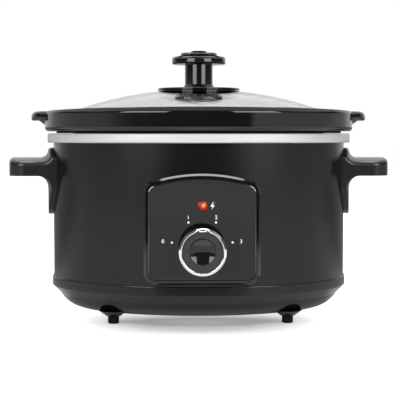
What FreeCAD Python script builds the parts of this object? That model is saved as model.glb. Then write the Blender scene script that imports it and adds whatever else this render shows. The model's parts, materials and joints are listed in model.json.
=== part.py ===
"""Oval slow cooker: steel housing on a moulded base, aluminium heating liner with a band heater,
glazed stoneware crock, glass lid, control panel with a rotary switch, and two side handles.

Millimetres. +X runs along the oval, -Y is the front, +Z is up.
The origin is on the table, under the centre of the oval.
"""

import FreeCAD
import Part
import math
import os

from FreeCAD import Vector

# Plan of the oval, measured on the outside of the housing wall
BODY_HALF_LENGTH = 142.0
BODY_HALF_DEPTH = 112.0

# Clearances
SEAT_GAP = 0.3  # under a piece that lifts off
SLIP_GAP = 0.2  # between fixed pieces with curved faces
SCREW_GAP = 0.1  # round a screw or stud in its hole
RUNNING_GAP = 0.05  # round the turning shaft
CUT_MARGIN = 1.0  # how far a cutting block reaches past what it cuts
TOUCH = 0.001  # points this close count as one

# Base pan
PAN_LIFT = 9.3  # underside above the table
PAN_INSET = 3.0  # side of the pan, in from the housing wall
PAN_CORNER = 26.0
PAN_WALL = 2.5
BASE_HEIGHT = 30.0
BAND_OVERHANG = 1.5  # band round the top of the pan, out from the housing wall
BAND_HEIGHT = 8.8
BAND_FLARE = 9.0  # slope from the pan's side out to the band
BAND_EDGE = 0.8
GROOVE_DROP = 3.5
GROOVE_HEIGHT = 1.4
GROOVE_DEPTH = 0.5
WALL_SEAT_DEPTH = 3.0  # housing wall stands this deep inside the band
VENT_COUNT = 6
VENT_LENGTH = 26.0
VENT_WIDTH = 3.0
VENT_PITCH = 8.0
VENT_OFFSET = 52.0  # middle of each group, from the centre of the oval

# Feet
FOOT_X = 81.4
FOOT_Y = 66.0
FOOT_RADIUS = 5.2
FOOT_EDGE = 1.2
FOOT_SOCKET_DEPTH = 2.6
FOOT_BOSS_LIFT = 7.0  # lower end of the boss above the table
FOOT_BOSS_RADIUS = 13.5
FOOT_BOSS_HEIGHT = 5.0
FOOT_BOSS_WALL = 1.3
FOOT_COLUMN_RADIUS = 4.5
FOOT_COLUMN_HEIGHT = 11.0
FOOT_SCREW_RADIUS = 1.5
FOOT_SCREW_HEAD_RADIUS = 3.0
FOOT_SCREW_HEAD = 2.0
FOOT_SCREW_RECESS = 1.2

# Screws
SCREW_HEAD_ROUND = 0.45  # rounded share of a head's height

# Housing wall
WALL_GAUGE = 1.0
WALL_HEIGHT = 139.7

# Heating liner
LINER_GAUGE = 1.0
LINER_INSET = 18.0  # outside of the liner, in from the outside of the housing wall
LINER_DEPTH = 132.0
LINER_CORNER = 14.0
RIM_OVERHANG = 5.6
RIM_DROP = 8.7
RIM_EDGE = 1.6
RIM_HEM_GAP = 0.3

# Crock
CROCK_INSET = 20.0
CROCK_DRAFT = 3.0
CROCK_WALL = 7.0
CROCK_FLOAT = 2.3  # foot above the liner's floor
CROCK_FLOOR = 8.0
CROCK_FOOT_CORNER = 14.0
CROCK_FLOOR_CORNER = 18.0
COLLAR_HEIGHT = 24.0
COLLAR_OVERHANG = 8.3
COLLAR_LIFT = 1.9  # underside above the seat
COLLAR_LOWER_EDGE = 3.8
COLLAR_BAND_WIDTH = 3.9  # sloped band round the top
COLLAR_BAND_HEIGHT = 4.6
COLLAR_BAND_EDGE = 2.5
COLLAR_TOP_EDGE = 1.2
COLLAR_CROWN_RADIUS = 4500.0  # the top falls gently towards the lugs
COLLAR_LIP = 12.8  # width of the collar's wall beside the lid
SEAT_INSET = 3.0  # seat's outer edge, in from the housing wall
LIP_DRAFT = 0.6
LIP_EDGE = 2.0
LEDGE_DEPTH = 10.8
LEDGE_EDGE = 10.0
LUG_REACH = 13.3  # beyond the collar
LUG_HALF_WIDTH = 60.0
LUG_THICKNESS = 9.2
LUG_DROP = 2.7
LUG_TOP_EDGE = 5.5
LUG_LOWER_EDGE = 2.5
LUG_GUSSET = 7.5
LUG_GUSSET_HEIGHT = 5.5

# Glass lid
LID_GAP = 1.5  # between the glass and the collar's lip
GLASS = 4.0
DOME_RADIUS = 365.0
LID_HOLE_RADIUS = 4.2

# Lid knob and its base
KNOB_BASE_RADIUS = 40.2
KNOB_BASE_LIFT = 0.8  # top of the base's rim above the crown of the glass
KNOB_BASE_RISE = 1.4
KNOB_BASE_RIM = 2.4
KNOB_BASE_EDGE = 1.1
KNOB_BASE_HUB_RADIUS = 37.9
KNOB_BASE_SKIRT = 7.0
KNOB_SEAT_RADIUS = 15.0
KNOB_STEM_RADIUS = 13.6
KNOB_STEM_HEIGHT = 21.8
KNOB_STEM_FLARE = 2.2
KNOB_CAP_RADIUS = 26.2
KNOB_CAP_HEIGHT = 8.4
KNOB_CAP_SLOPE = 1.4  # rise of the cap's top from its rim to the tier
KNOB_CAP_EDGE = 1.6
KNOB_TIER_RADIUS = 18.0
KNOB_TIER_HEIGHT = 2.6
KNOB_BUTTON_RADIUS = 7.7
KNOB_BUTTON_HEIGHT = 2.1
LID_SCREW_RADIUS = 2.5
LID_SCREW_GRIP = 15.0
LID_SCREW_HEAD_RADIUS = 4.6
LID_SCREW_HEAD = 2.0
LID_WASHER_RADIUS = 9.0
LID_WASHER = 1.0
RETAINER_TOP_RADIUS = 14.0
RETAINER_RADIUS = 21.2
RETAINER_HEIGHT = 4.0
LID_SEAL_RADIUS = 11.0
LID_SEAL = 1.0

# Band heater and its insulation
HEATER_LIFT = 46.0  # lower edge above the liner's underside
HEATER_HEIGHT = 48.0
HEATER_GAUGE = 1.6
HEATER_SPLIT = 14.0
HEATER_TAB = 9.0
HEATER_TAB_HEIGHT = 16.0
HEATER_BOLT_RADIUS = 2.0
HEATER_BOLT_HEAD_RADIUS = 3.6
HEATER_BOLT_HEAD = 2.4
INSULATION = 4.0
INSULATION_MARGIN = 4.0
INSULATION_SPLIT = 40.0

# Thermal cut-out under the liner
CUTOUT_X = 46.0
CUTOUT_RADIUS = 8.0
CUTOUT_HEIGHT = 9.0
STRAP_WIDTH = 8.0
STRAP_GAUGE = 1.0
STRAP_FOOT = 7.0

# Tie stud that draws the liner, housing and base together
STUD_RADIUS = 2.5
STUD_PLATE_RADIUS = 12.0
STUD_PLATE = 1.5
STUD_TAIL = 1.0  # end of the stud beyond its nut
TIE_RECESS_RADIUS = 10.0
TIE_RECESS_DEPTH = 7.0
TIE_WASHER_RADIUS = 7.0
TIE_WASHER = 1.0
TIE_NUT_FLATS = 8.0
TIE_NUT = 4.0

# Control panel
PANEL_LIFT = 2.5  # above the base band
PANEL_WIDTH = 104.6
PANEL_HEIGHT = 99.5
PANEL_ARCH = 151.0
PANEL_CORNER = 11.2
PANEL_STANDOFF = 7.0  # front of the bezel, out from the housing wall
BEZEL_BEVEL = 1.8
BEZEL_BEVEL_DEPTH = 3.0
BEZEL_FRAME = 4.1
BEZEL_WALL = 2.5
BEZEL_LEDGE = 3.0
BEZEL_LEDGE_DEPTH = 1.8
BEZEL_BOSS_RADIUS = 4.0
BEZEL_BOSS_X = 43.0
BEZEL_LOWER_BOSS_LIFT = 23.6  # above the bottom of the panel
BEZEL_UPPER_BOSS_LIFT = 73.6
BEZEL_SCREW_RADIUS = 1.5
BEZEL_SCREW_HEAD_RADIUS = 3.0
BEZEL_SCREW_HEAD = 2.0
BEZEL_SCREW_GRIP = 4.5
FASCIA = 2.0
FASCIA_RECESS = 1.5
WINDOW_HALF_WIDTH = 36.0  # cut-out in the housing wall behind the panel
WINDOW_GAP = 1.5

# Rotary switch
DIAL_LIFT = 30.9  # shaft above the bottom of the panel
SWITCH_SIZE = 28.0
SWITCH_DEPTH = 12.0
SWITCH_CORNER = 3.0
SWITCH_BUSH_RADIUS = 4.8
SWITCH_BUSH = 3.0
SWITCH_NUT_FLATS = 13.0
SWITCH_NUT = 2.4
SWITCH_TAB_WIDTH = 4.8
SWITCH_TAB_LENGTH = 8.0
SWITCH_TAB_GAUGE = 0.8
SWITCH_TAB_PITCH = 9.0
SHAFT_RADIUS = 3.0
SHAFT_FLAT = 1.6  # flat's distance from the shaft's axis
SHAFT_TIP = 10.5
SHAFT_ROOT = 9.0  # depth inside the switch

# Control knob, measured outward from the fascia
DIAL_GAP = 0.7
DIAL_RADIUS = 20.4
DIAL_SKIRT = 13.4
DIAL_FACE = 16.0
DIAL_POCKET_RADIUS = 17.0
DIAL_POCKET = 5.0
RING_OUTER_RADIUS = 21.0
RING_WIDTH = 2.6
RING_FRONT = 18.2
RING_BEVEL = 1.5
RING_BEVEL_DEPTH = 1.2
RING_INNER_EDGE = 0.7
NOTCH_RADIUS = 8.8  # round notch in the ring, above the pointer
NOTCH_REACH = 19.7
NOTCH_EDGE = 1.2
NOTCH_SINK = 0.6  # notch's rounded edge, behind the front of the ring
DISH_RADIUS = 12.0
DISH_THICKNESS = 3.6
DISH_SAG = 2.2
DISH_EDGE = 0.8
POINTER_WIDTH = 6.4
POINTER_LENGTH = 1.4
POINTER_REACH = 19.1
POINTER_RISE = 0.5

# Indicator lamp
LAMP_LIFT = 70.8  # above the bottom of the panel
LENS_RADIUS = 4.9
LENS_SIDE = 0.8
LENS_DOME = 1.6
LAMP_FLANGE_RADIUS = 6.6
LAMP_FLANGE = 1.5
LAMP_BODY_RADIUS = 4.2
LAMP_BODY = 10.0

# Side handles
HANDLE_DROP = 12.8  # top of the plate below the top of the wall
HANDLE_PLATE_HEIGHT = 64.9
HANDLE_PLATE_HALF_WIDTH = 33.0
HANDLE_TONGUE_HALF_WIDTH = 18.0
HANDLE_TONGUE_RISE = 9.0
HANDLE_PLATE = 5.0
HANDLE_TOP_EDGE = 2.5
HANDLE_REACH = 42.5
SHELF_DROP = 9.4  # crown of the shelf below the top of the plate
SHELF_THICKNESS = 17.4
SHELF_CROWN_RADIUS = 125.0
SHELF_ROOT_TOP = 8.0
SHELF_ROOT_BOTTOM = 12.0
SHELF_CORNER = 16.0
SHELF_EDGE = 4.0
SHELF_SKIN = 3.0
SHELF_RIB = 3.0
HANDLE_SCREW_RADIUS = 2.0
HANDLE_SCREW_HEAD_RADIUS = 4.0
HANDLE_SCREW_HEAD = 2.6
HANDLE_UPPER_SCREW_GRIP = 15.0  # into the handle
HANDLE_UPPER_SCREW_DROP = 18.0  # below the top of the plate
HANDLE_LOWER_SCREW_GRIP = 3.6
HANDLE_LOWER_SCREW_DROP = 50.0
BACKING_GAUGE = 1.2
BACKING_HALF_WIDTH = 14.0
BACKING_MARGIN = 8.0

# Mains inlet at the back
GLAND_LIFT = 15.0  # above the base band
GLAND_BORE_RADIUS = 3.6
GLAND_BARREL_RADIUS = 7.5
GLAND_FLANGE_RADIUS = 10.0
GLAND_FLANGE = 3.0
GLAND_EDGE = 1.0
GLAND_TAIL = 9.0
GLAND_NUT_RADIUS = 11.0
GLAND_NUT = 3.5
TERMINAL_X = 50.0
TERMINAL_Y = 46.0
TERMINAL_LENGTH = 36.0
TERMINAL_WIDTH = 16.0
TERMINAL_HEIGHT = 14.0
TERMINAL_WAYS = 3
TERMINAL_WAY_RADIUS = 2.2

# Heights that follow from the sizes above
PAN_BOTTOM = PAN_LIFT
PAN_FLOOR = PAN_BOTTOM + PAN_WALL
BASE_TOP = PAN_BOTTOM + BASE_HEIGHT
BAND_BOTTOM = BASE_TOP - BAND_HEIGHT
WALL_FOOT = BASE_TOP - WALL_SEAT_DEPTH
WALL_TOP = WALL_FOOT + WALL_HEIGHT
RIM_TOP = WALL_TOP + LINER_GAUGE
LINER_BOTTOM = RIM_TOP - LINER_DEPTH - LINER_GAUGE
CROCK_SEAT = RIM_TOP + SEAT_GAP
CROCK_FOOT = LINER_BOTTOM + LINER_GAUGE + CROCK_FLOAT
CROCK_TOP = CROCK_SEAT + COLLAR_HEIGHT
COLLAR_UNDERSIDE = CROCK_SEAT + COLLAR_LIFT
LEDGE = CROCK_TOP - LEDGE_DEPTH
LIP_INNER = COLLAR_OVERHANG - COLLAR_LIP
LID_OFFSET = LIP_INNER - LID_GAP
LID_HALF_LENGTH = BODY_HALF_LENGTH + LID_OFFSET
LID_HALF_DEPTH = BODY_HALF_DEPTH + LID_OFFSET
LID_EDGE_ROUND = GLASS / 2
LID_SAG = DOME_RADIUS - math.sqrt(DOME_RADIUS**2 - (LID_HALF_LENGTH - LID_EDGE_ROUND) ** 2)
LID_CROWN = LEDGE + SEAT_GAP + GLASS + LID_SAG
KNOB_SEAT = LID_CROWN + KNOB_BASE_LIFT + KNOB_BASE_RISE
HEATER_BOTTOM = LINER_BOTTOM + HEATER_LIFT
HANDLE_TOP = WALL_TOP - HANDLE_DROP
SHELF_TOP = HANDLE_TOP - SHELF_DROP
SHELF_BOTTOM = SHELF_TOP - SHELF_THICKNESS
PANEL_BOTTOM = BASE_TOP + PANEL_LIFT
PANEL_FRONT = -(BODY_HALF_DEPTH + PANEL_STANDOFF)
FASCIA_FRONT = PANEL_FRONT + FASCIA_RECESS
FASCIA_BACK = FASCIA_FRONT + FASCIA
DIAL_HEIGHT = PANEL_BOTTOM + DIAL_LIFT
LAMP_HEIGHT = PANEL_BOTTOM + LAMP_LIFT
GLAND_HEIGHT = BASE_TOP + GLAND_LIFT
HANDLE_SCREW_GRIPS = (HANDLE_UPPER_SCREW_GRIP, HANDLE_LOWER_SCREW_GRIP)
HANDLE_SCREW_HEIGHTS = (
    HANDLE_TOP - HANDLE_UPPER_SCREW_DROP,
    HANDLE_TOP - HANDLE_LOWER_SCREW_DROP,
)

UP = Vector(0, 0, 1)
FRONT = Vector(0, -1, 0)
BACK = Vector(0, 1, 0)
LEFT = Vector(-1, 0, 0)


def oval_wire(offset, z):
    ellipse = Part.Ellipse(Vector(0, 0, z), BODY_HALF_LENGTH + offset, BODY_HALF_DEPTH + offset)
    return Part.Wire(ellipse.toShape())


def oval_prism(offset, z_low, z_high):
    """Upright oval block, its side the given offset out from the housing wall."""
    return Part.Face(oval_wire(offset, z_low)).extrude(UP * (z_high - z_low))


def oval_ring(inner_offset, outer_offset, z_low, z_high):
    return oval_prism(outer_offset, z_low, z_high).cut(oval_prism(inner_offset, z_low, z_high))


def oval_cone(low_offset, z_low, high_offset, z_high):
    """Oval block whose side slopes evenly from one offset to another."""
    return Part.makeLoft([oval_wire(low_offset, z_low), oval_wire(high_offset, z_high)], True, True)


def edges_where(shape, test):
    """Edges whose every point passes the test."""
    return [edge for edge in shape.Edges if all(test(point) for point in edge.discretize(5))]


def edges_at_height(shape, z):
    return edges_where(shape, lambda point: abs(point.z - z) < TOUCH)


def oval_share(point, offset):
    """How far out a point lies: 1.0 on the oval with this offset, less inside it."""
    return math.hypot(point.x / (BODY_HALF_LENGTH + offset), point.y / (BODY_HALF_DEPTH + offset))


def on_oval(point, offset):
    return abs(oval_share(point, offset) - 1.0) * BODY_HALF_LENGTH < TOUCH


def runs_along(edge, direction):
    """True for a straight edge along a direction."""
    span = edge.Vertexes[-1].Point - edge.Vertexes[0].Point
    return abs(span.dot(direction)) > edge.Length - TOUCH


def rounded(shape, radius, edges):
    return shape.makeFillet(radius, edges)


def cylinder(radius, z_low, z_high):
    return Part.makeCylinder(radius, z_high - z_low, Vector(0, 0, z_low))


def tube(inner_radius, outer_radius, z_low, z_high):
    return cylinder(outer_radius, z_low, z_high).cut(cylinder(inner_radius, z_low, z_high))


def hexagon(flats, z_low, z_high):
    radius = flats / math.sqrt(3)
    corners = [
        Vector(radius * math.cos(i * math.pi / 3), radius * math.sin(i * math.pi / 3), z_low)
        for i in range(7)
    ]
    return Part.Face(Part.makePolygon(corners)).extrude(UP * (z_high - z_low))


def turned(edges):
    """Solid turned about Z from a closed profile in the XZ plane."""
    face = Part.Face(Part.Wire(Part.__sortEdges__(edges)))
    return face.revolve(Vector(0, 0, 0), UP, 360)


def polyline(points):
    """Edges along (radius, height) points in the XZ plane."""
    corners = [Vector(r, 0, z) for r, z in points]
    return [Part.makeLine(a, b) for a, b in zip(corners, corners[1:])]


def arc(start, middle, end):
    points = [Vector(r, 0, z) for r, z in (start, middle, end)]
    return Part.Arc(*points).toShape()


def quarter(r, z, r_side, z_side, edge):
    """Quarter round at the corner (r, z) of a turned profile, towards the given sides."""
    cut = edge * (1 - math.sqrt(0.5))
    return arc(
        (r, z + z_side * edge), (r + r_side * cut, z + z_side * cut), (r + r_side * edge, z)
    )


def placed(shape, point, direction):
    """Copy of a shape built about the origin, its Z axis turned to a direction."""
    copy = shape.copy()
    copy.Placement = FreeCAD.Placement(point, FreeCAD.Rotation(UP, direction))
    return copy


def screw(head_radius, head, shank_radius, length):
    """Pan-head screw along +Z, with the underside of its head at the origin."""
    dome = rounded_disc(head_radius, -head, 0.0, head * SCREW_HEAD_ROUND)
    return dome.fuse(cylinder(shank_radius, 0.0, length)).removeSplitter()


def rounded_disc(radius, z_low, z_high, edge):
    """Disc with its lower edge rounded."""
    disc = cylinder(radius, z_low, z_high)
    return rounded(disc, edge, edges_at_height(disc, z_low))


def mirrored(shape):
    return shape.mirror(Vector(0, 0, 0), Vector(1, 0, 0))


def signs():
    return [(sx, sy) for sy in (-1, 1) for sx in (-1, 1)]


def slot(length, width, z_low, z_high):
    """Round-ended upright slot along X, centred on the origin."""
    half = length / 2 - width / 2
    block = Part.makeBox(2 * half, width, z_high - z_low, Vector(-half, -width / 2, z_low))
    for end in (-half, half):
        round_end = Part.makeCylinder(width / 2, z_high - z_low, Vector(end, 0, z_low))
        block = block.fuse(round_end)
    return block.removeSplitter()


def base_pan():
    pan = oval_prism(-PAN_INSET, PAN_BOTTOM, BASE_TOP)
    pan = rounded(pan, PAN_CORNER, edges_at_height(pan, PAN_BOTTOM))
    band = oval_prism(BAND_OVERHANG, BAND_BOTTOM, BASE_TOP)
    band = rounded(band, BAND_EDGE, edges_at_height(band, BASE_TOP))
    groove_top = BASE_TOP - GROOVE_DROP
    groove = oval_ring(
        BAND_OVERHANG - GROOVE_DEPTH,
        BAND_OVERHANG + CUT_MARGIN,
        groove_top - GROOVE_HEIGHT,
        groove_top,
    )
    flare = oval_cone(
        BAND_OVERHANG - BAND_FLARE, BAND_BOTTOM - BAND_FLARE, BAND_OVERHANG, BAND_BOTTOM
    )
    pan = pan.fuse([band.cut(groove), flare])

    inner_offset = -(PAN_INSET + PAN_WALL)
    cavity = oval_prism(inner_offset, PAN_FLOOR, BASE_TOP)
    cavity = rounded(cavity, PAN_CORNER - PAN_WALL, edges_at_height(cavity, PAN_FLOOR))
    seat = oval_prism(SLIP_GAP, WALL_FOOT, BASE_TOP)
    pan = pan.cut([cavity, seat])

    column_top = PAN_FLOOR + FOOT_COLUMN_HEIGHT
    boss_top = FOOT_BOSS_LIFT + FOOT_BOSS_HEIGHT
    tip_radius = FOOT_RADIUS + SCREW_GAP + FOOT_BOSS_WALL
    boss = Part.makeCone(tip_radius, FOOT_BOSS_RADIUS, FOOT_BOSS_HEIGHT, Vector(0, 0, FOOT_BOSS_LIFT))
    boss = boss.fuse(cylinder(FOOT_COLUMN_RADIUS, boss_top, column_top))
    socket = cylinder(
        FOOT_RADIUS + SCREW_GAP, FOOT_BOSS_LIFT, FOOT_BOSS_LIFT + FOOT_SOCKET_DEPTH
    ).fuse(cylinder(FOOT_SCREW_RADIUS + SCREW_GAP, FOOT_BOSS_LIFT, column_top))
    bosses = []
    sockets = []
    for sx, sy in signs():
        spot = Vector(sx * FOOT_X, sy * FOOT_Y, 0)
        bosses.append(boss.translated(spot))
        sockets.append(socket.translated(spot))

    tie_floor = PAN_BOTTOM + TIE_RECESS_DEPTH
    bosses.append(cylinder(TIE_RECESS_RADIUS + PAN_WALL, PAN_BOTTOM, tie_floor + PAN_WALL))
    sockets.append(cylinder(TIE_RECESS_RADIUS, PAN_BOTTOM, tie_floor))
    sockets.append(cylinder(STUD_RADIUS + SCREW_GAP, PAN_BOTTOM, tie_floor + PAN_WALL))

    vent = slot(VENT_LENGTH, VENT_WIDTH, PAN_BOTTOM, PAN_FLOOR)
    for side in (-1, 1):
        for i in range(VENT_COUNT):
            y = (i - (VENT_COUNT - 1) / 2) * VENT_PITCH
            sockets.append(vent.translated(Vector(side * VENT_OFFSET, y, 0)))
    return pan.fuse(bosses).cut(sockets).removeSplitter()


def foot():
    """One rubber foot at the origin, with a counterbore for its screw."""
    top = FOOT_BOSS_LIFT + FOOT_SOCKET_DEPTH
    pad = rounded_disc(FOOT_RADIUS, 0.0, top, FOOT_EDGE)
    recess = FOOT_SCREW_RECESS + FOOT_SCREW_HEAD
    pad = pad.cut(cylinder(FOOT_SCREW_HEAD_RADIUS + SCREW_GAP, 0.0, recess))
    return pad.cut(cylinder(FOOT_SCREW_RADIUS + SCREW_GAP, 0.0, top))


def foot_screw():
    seat = FOOT_SCREW_RECESS + FOOT_SCREW_HEAD
    length = PAN_FLOOR + FOOT_COLUMN_HEIGHT - seat - PAN_WALL
    shape = screw(FOOT_SCREW_HEAD_RADIUS, FOOT_SCREW_HEAD, FOOT_SCREW_RADIUS, length)
    return shape.translated(Vector(0, 0, seat))


def bezel_screw_spots():
    spots = []
    for lift in (BEZEL_LOWER_BOSS_LIFT, BEZEL_UPPER_BOSS_LIFT):
        for side in (-1, 1):
            spots.append(Vector(side * BEZEL_BOSS_X, 0, PANEL_BOTTOM + lift))
    return spots


def wall_front(x, offset):
    """Y of the front of an oval at the given X."""
    share = x / (BODY_HALF_LENGTH + offset)
    return -(BODY_HALF_DEPTH + offset) * math.sqrt(1.0 - share**2)


def wall_side(y, offset):
    """X of the right side of an oval at the given Y."""
    share = y / (BODY_HALF_DEPTH + offset)
    return (BODY_HALF_LENGTH + offset) * math.sqrt(1.0 - share**2)


def housing_wall():
    wall = oval_ring(-WALL_GAUGE, 0.0, WALL_FOOT, WALL_TOP)
    window_low = DIAL_HEIGHT - SWITCH_SIZE / 2 - SWITCH_TAB_LENGTH - WINDOW_GAP
    window_high = LAMP_HEIGHT + LAMP_FLANGE_RADIUS + WINDOW_GAP
    window = Part.makeBox(
        2 * WINDOW_HALF_WIDTH,
        BODY_HALF_DEPTH,
        window_high - window_low,
        Vector(-WINDOW_HALF_WIDTH, -BODY_HALF_DEPTH, window_low),
    )
    cuts = [window]
    hole = cylinder(BEZEL_SCREW_RADIUS + SLIP_GAP, 0.0, BODY_HALF_DEPTH)
    cuts += [placed(hole, spot, FRONT) for spot in bezel_screw_spots()]
    hole = cylinder(HANDLE_SCREW_RADIUS + SLIP_GAP, 0.0, BODY_HALF_LENGTH)
    for height in HANDLE_SCREW_HEIGHTS:
        for direction in (LEFT, -LEFT):
            cuts.append(placed(hole, Vector(0, 0, height), direction))
    hole = cylinder(GLAND_BARREL_RADIUS + SLIP_GAP, 0.0, BODY_HALF_DEPTH)
    cuts.append(placed(hole, Vector(0, 0, GLAND_HEIGHT), BACK))
    return wall.cut(cuts)


def heating_liner():
    rim_low = RIM_TOP - RIM_DROP
    rim = oval_prism(RIM_OVERHANG, rim_low, RIM_TOP)
    rim = rounded(rim, RIM_EDGE, edges_at_height(rim, RIM_TOP) + edges_at_height(rim, rim_low))
    rim = rim.cut(
        [
            oval_prism(RIM_HEM_GAP, rim_low, WALL_TOP),
            oval_prism(RIM_OVERHANG - LINER_GAUGE, rim_low + LINER_GAUGE, WALL_TOP),
        ]
    )
    pot = oval_prism(-LINER_INSET, LINER_BOTTOM, RIM_TOP)
    pot = rounded(pot, LINER_CORNER, edges_at_height(pot, LINER_BOTTOM))
    floor = LINER_BOTTOM + LINER_GAUGE
    cavity = oval_prism(-LINER_INSET - LINER_GAUGE, floor, RIM_TOP)
    cavity = rounded(cavity, LINER_CORNER - LINER_GAUGE, edges_at_height(cavity, floor))
    return pot.fuse(rim).cut(cavity).removeSplitter()


def crock():
    body = oval_cone(-CROCK_INSET - CROCK_DRAFT, CROCK_FOOT, -CROCK_INSET, CROCK_SEAT)
    body = rounded(body, CROCK_FOOT_CORNER, edges_at_height(body, CROCK_FOOT))
    seat = oval_prism(-SEAT_INSET, CROCK_SEAT, COLLAR_UNDERSIDE)
    outside = body.fuse([seat, crock_collar(), crock_lugs()])

    floor = CROCK_FOOT + CROCK_FLOOR
    inner = -CROCK_INSET - CROCK_WALL
    cavity = oval_cone(inner - CROCK_DRAFT, floor, inner, LEDGE)
    cavity = rounded(cavity, CROCK_FLOOR_CORNER, edges_at_height(cavity, floor))
    recess = oval_cone(LIP_INNER, LEDGE, LIP_INNER + LIP_DRAFT, CROCK_TOP + LIP_EDGE)
    pot = outside.cut([cavity, recess]).removeSplitter()
    mouth = edges_where(pot, lambda p: abs(p.z - LEDGE) < TOUCH and on_oval(p, inner))
    pot = rounded(pot, LEDGE_EDGE, mouth)
    lip = edges_where(pot, lambda p: p.z > LEDGE + LIP_EDGE and oval_share(p, 0.0) < 1.0)
    return rounded(pot, LIP_EDGE, lip)


def crock_collar():
    """Collar with a rounded lower edge, and a sloped band round its gently arched top."""
    band_low = CROCK_TOP - COLLAR_BAND_HEIGHT
    side = oval_prism(COLLAR_OVERHANG, COLLAR_UNDERSIDE, band_low)
    past = (CROCK_TOP + COLLAR_TOP_EDGE - band_low) / COLLAR_BAND_HEIGHT
    band = oval_cone(
        COLLAR_OVERHANG,
        band_low,
        COLLAR_OVERHANG - past * COLLAR_BAND_WIDTH,
        CROCK_TOP + COLLAR_TOP_EDGE,
    )
    collar = side.fuse(band).removeSplitter()
    collar = rounded(collar, COLLAR_BAND_EDGE, edges_at_height(collar, band_low))
    collar = rounded(collar, COLLAR_LOWER_EDGE, edges_at_height(collar, COLLAR_UNDERSIDE))

    half_length = BODY_HALF_LENGTH + 2 * COLLAR_OVERHANG
    half_depth = BODY_HALF_DEPTH + 2 * COLLAR_OVERHANG
    shoulder = CROCK_TOP - COLLAR_CROWN_RADIUS + math.sqrt(COLLAR_CROWN_RADIUS**2 - half_length**2)
    edges = [arc((-half_length, shoulder), (0.0, CROCK_TOP), (half_length, shoulder))]
    edges += polyline(
        [
            (half_length, shoulder),
            (half_length, CROCK_SEAT),
            (-half_length, CROCK_SEAT),
            (-half_length, shoulder),
        ]
    )
    arch = Part.Face(Part.Wire(edges))
    arch.translate(Vector(0, -half_depth, 0))
    collar = collar.common(arch.extrude(Vector(0, 2 * half_depth, 0)))
    crest = edges_where(collar, lambda p: p.z > band_low + COLLAR_TOP_EDGE)
    return rounded(collar, COLLAR_TOP_EDGE, crest)


def crock_lugs():
    """Both grip lugs as one slimmer oval that passes through the collar and shows at its ends."""
    top = CROCK_TOP - LUG_DROP
    bottom = top - LUG_THICKNESS
    tip = BODY_HALF_LENGTH + COLLAR_OVERHANG + LUG_REACH

    def slim_oval(inset, z):
        ellipse = Part.Ellipse(Vector(0, 0, z), tip - inset, LUG_HALF_WIDTH - inset)
        return Part.Wire(ellipse.toShape())

    lug = Part.Face(slim_oval(0.0, bottom)).extrude(UP * LUG_THICKNESS)
    lug = rounded(lug, LUG_TOP_EDGE, edges_at_height(lug, top))
    lug = rounded(lug, LUG_LOWER_EDGE, edges_at_height(lug, bottom))
    gusset = Part.makeLoft(
        [slim_oval(2 * LUG_GUSSET, bottom - LUG_GUSSET_HEIGHT), slim_oval(LUG_GUSSET, bottom)],
        True,
        True,
    )
    return lug.fuse(gusset)


def dome(crown, thickness):
    """Oval dome, its top face a ball turned about Z and then narrowed to the lid's depth."""
    centre = crown - DOME_RADIUS
    r_round = LID_HALF_LENGTH - LID_EDGE_ROUND

    def top(r):
        return (r, centre + math.sqrt(DOME_RADIUS**2 - r**2))

    def bottom(r):
        return (r, top(r)[1] - thickness)

    tip = (LID_HALF_LENGTH, top(LID_HALF_LENGTH)[1] - thickness / 2)
    edges = [
        arc(top(0.0), top(r_round / 2), top(r_round)),
        arc(top(r_round), tip, bottom(r_round)),
        arc(bottom(r_round), bottom(r_round / 2), bottom(0.0)),
    ]
    edges += polyline([bottom(0.0), top(0.0)])
    narrowing = FreeCAD.Matrix()
    narrowing.scale(Vector(1.0, LID_HALF_DEPTH / LID_HALF_LENGTH, 1.0))
    return turned(edges).transformGeometry(narrowing)


def lid_glass():
    hole = cylinder(LID_HOLE_RADIUS, LEDGE, LID_CROWN + GLASS)
    return dome(LID_CROWN, GLASS).cut(hole)


def lid_knob_base():
    """Round base under the knob: a rounded rim on a hub that is shaped to the glass."""
    rim_top = LID_CROWN + KNOB_BASE_LIFT
    rim_low = rim_top - KNOB_BASE_RIM
    low = rim_top - KNOB_BASE_SKIRT
    hole = LID_SCREW_RADIUS + SCREW_GAP
    edge = KNOB_BASE_EDGE
    flat = KNOB_BASE_RADIUS - edge
    profile = polyline(
        [
            (flat, rim_top),
            (KNOB_SEAT_RADIUS, KNOB_SEAT),
            (hole, KNOB_SEAT),
            (hole, low),
            (KNOB_BASE_HUB_RADIUS, low),
            (KNOB_BASE_HUB_RADIUS, rim_low),
            (flat, rim_low),
        ]
    )
    profile.append(quarter(KNOB_BASE_RADIUS, rim_low, -1, 1, edge))
    profile += polyline([(KNOB_BASE_RADIUS, rim_low + edge), (KNOB_BASE_RADIUS, rim_top - edge)])
    profile.append(quarter(KNOB_BASE_RADIUS, rim_top, -1, -1, edge))
    return turned(profile).cut(dome(LID_CROWN + SLIP_GAP, KNOB_BASE_SKIRT + GLASS))


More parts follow.
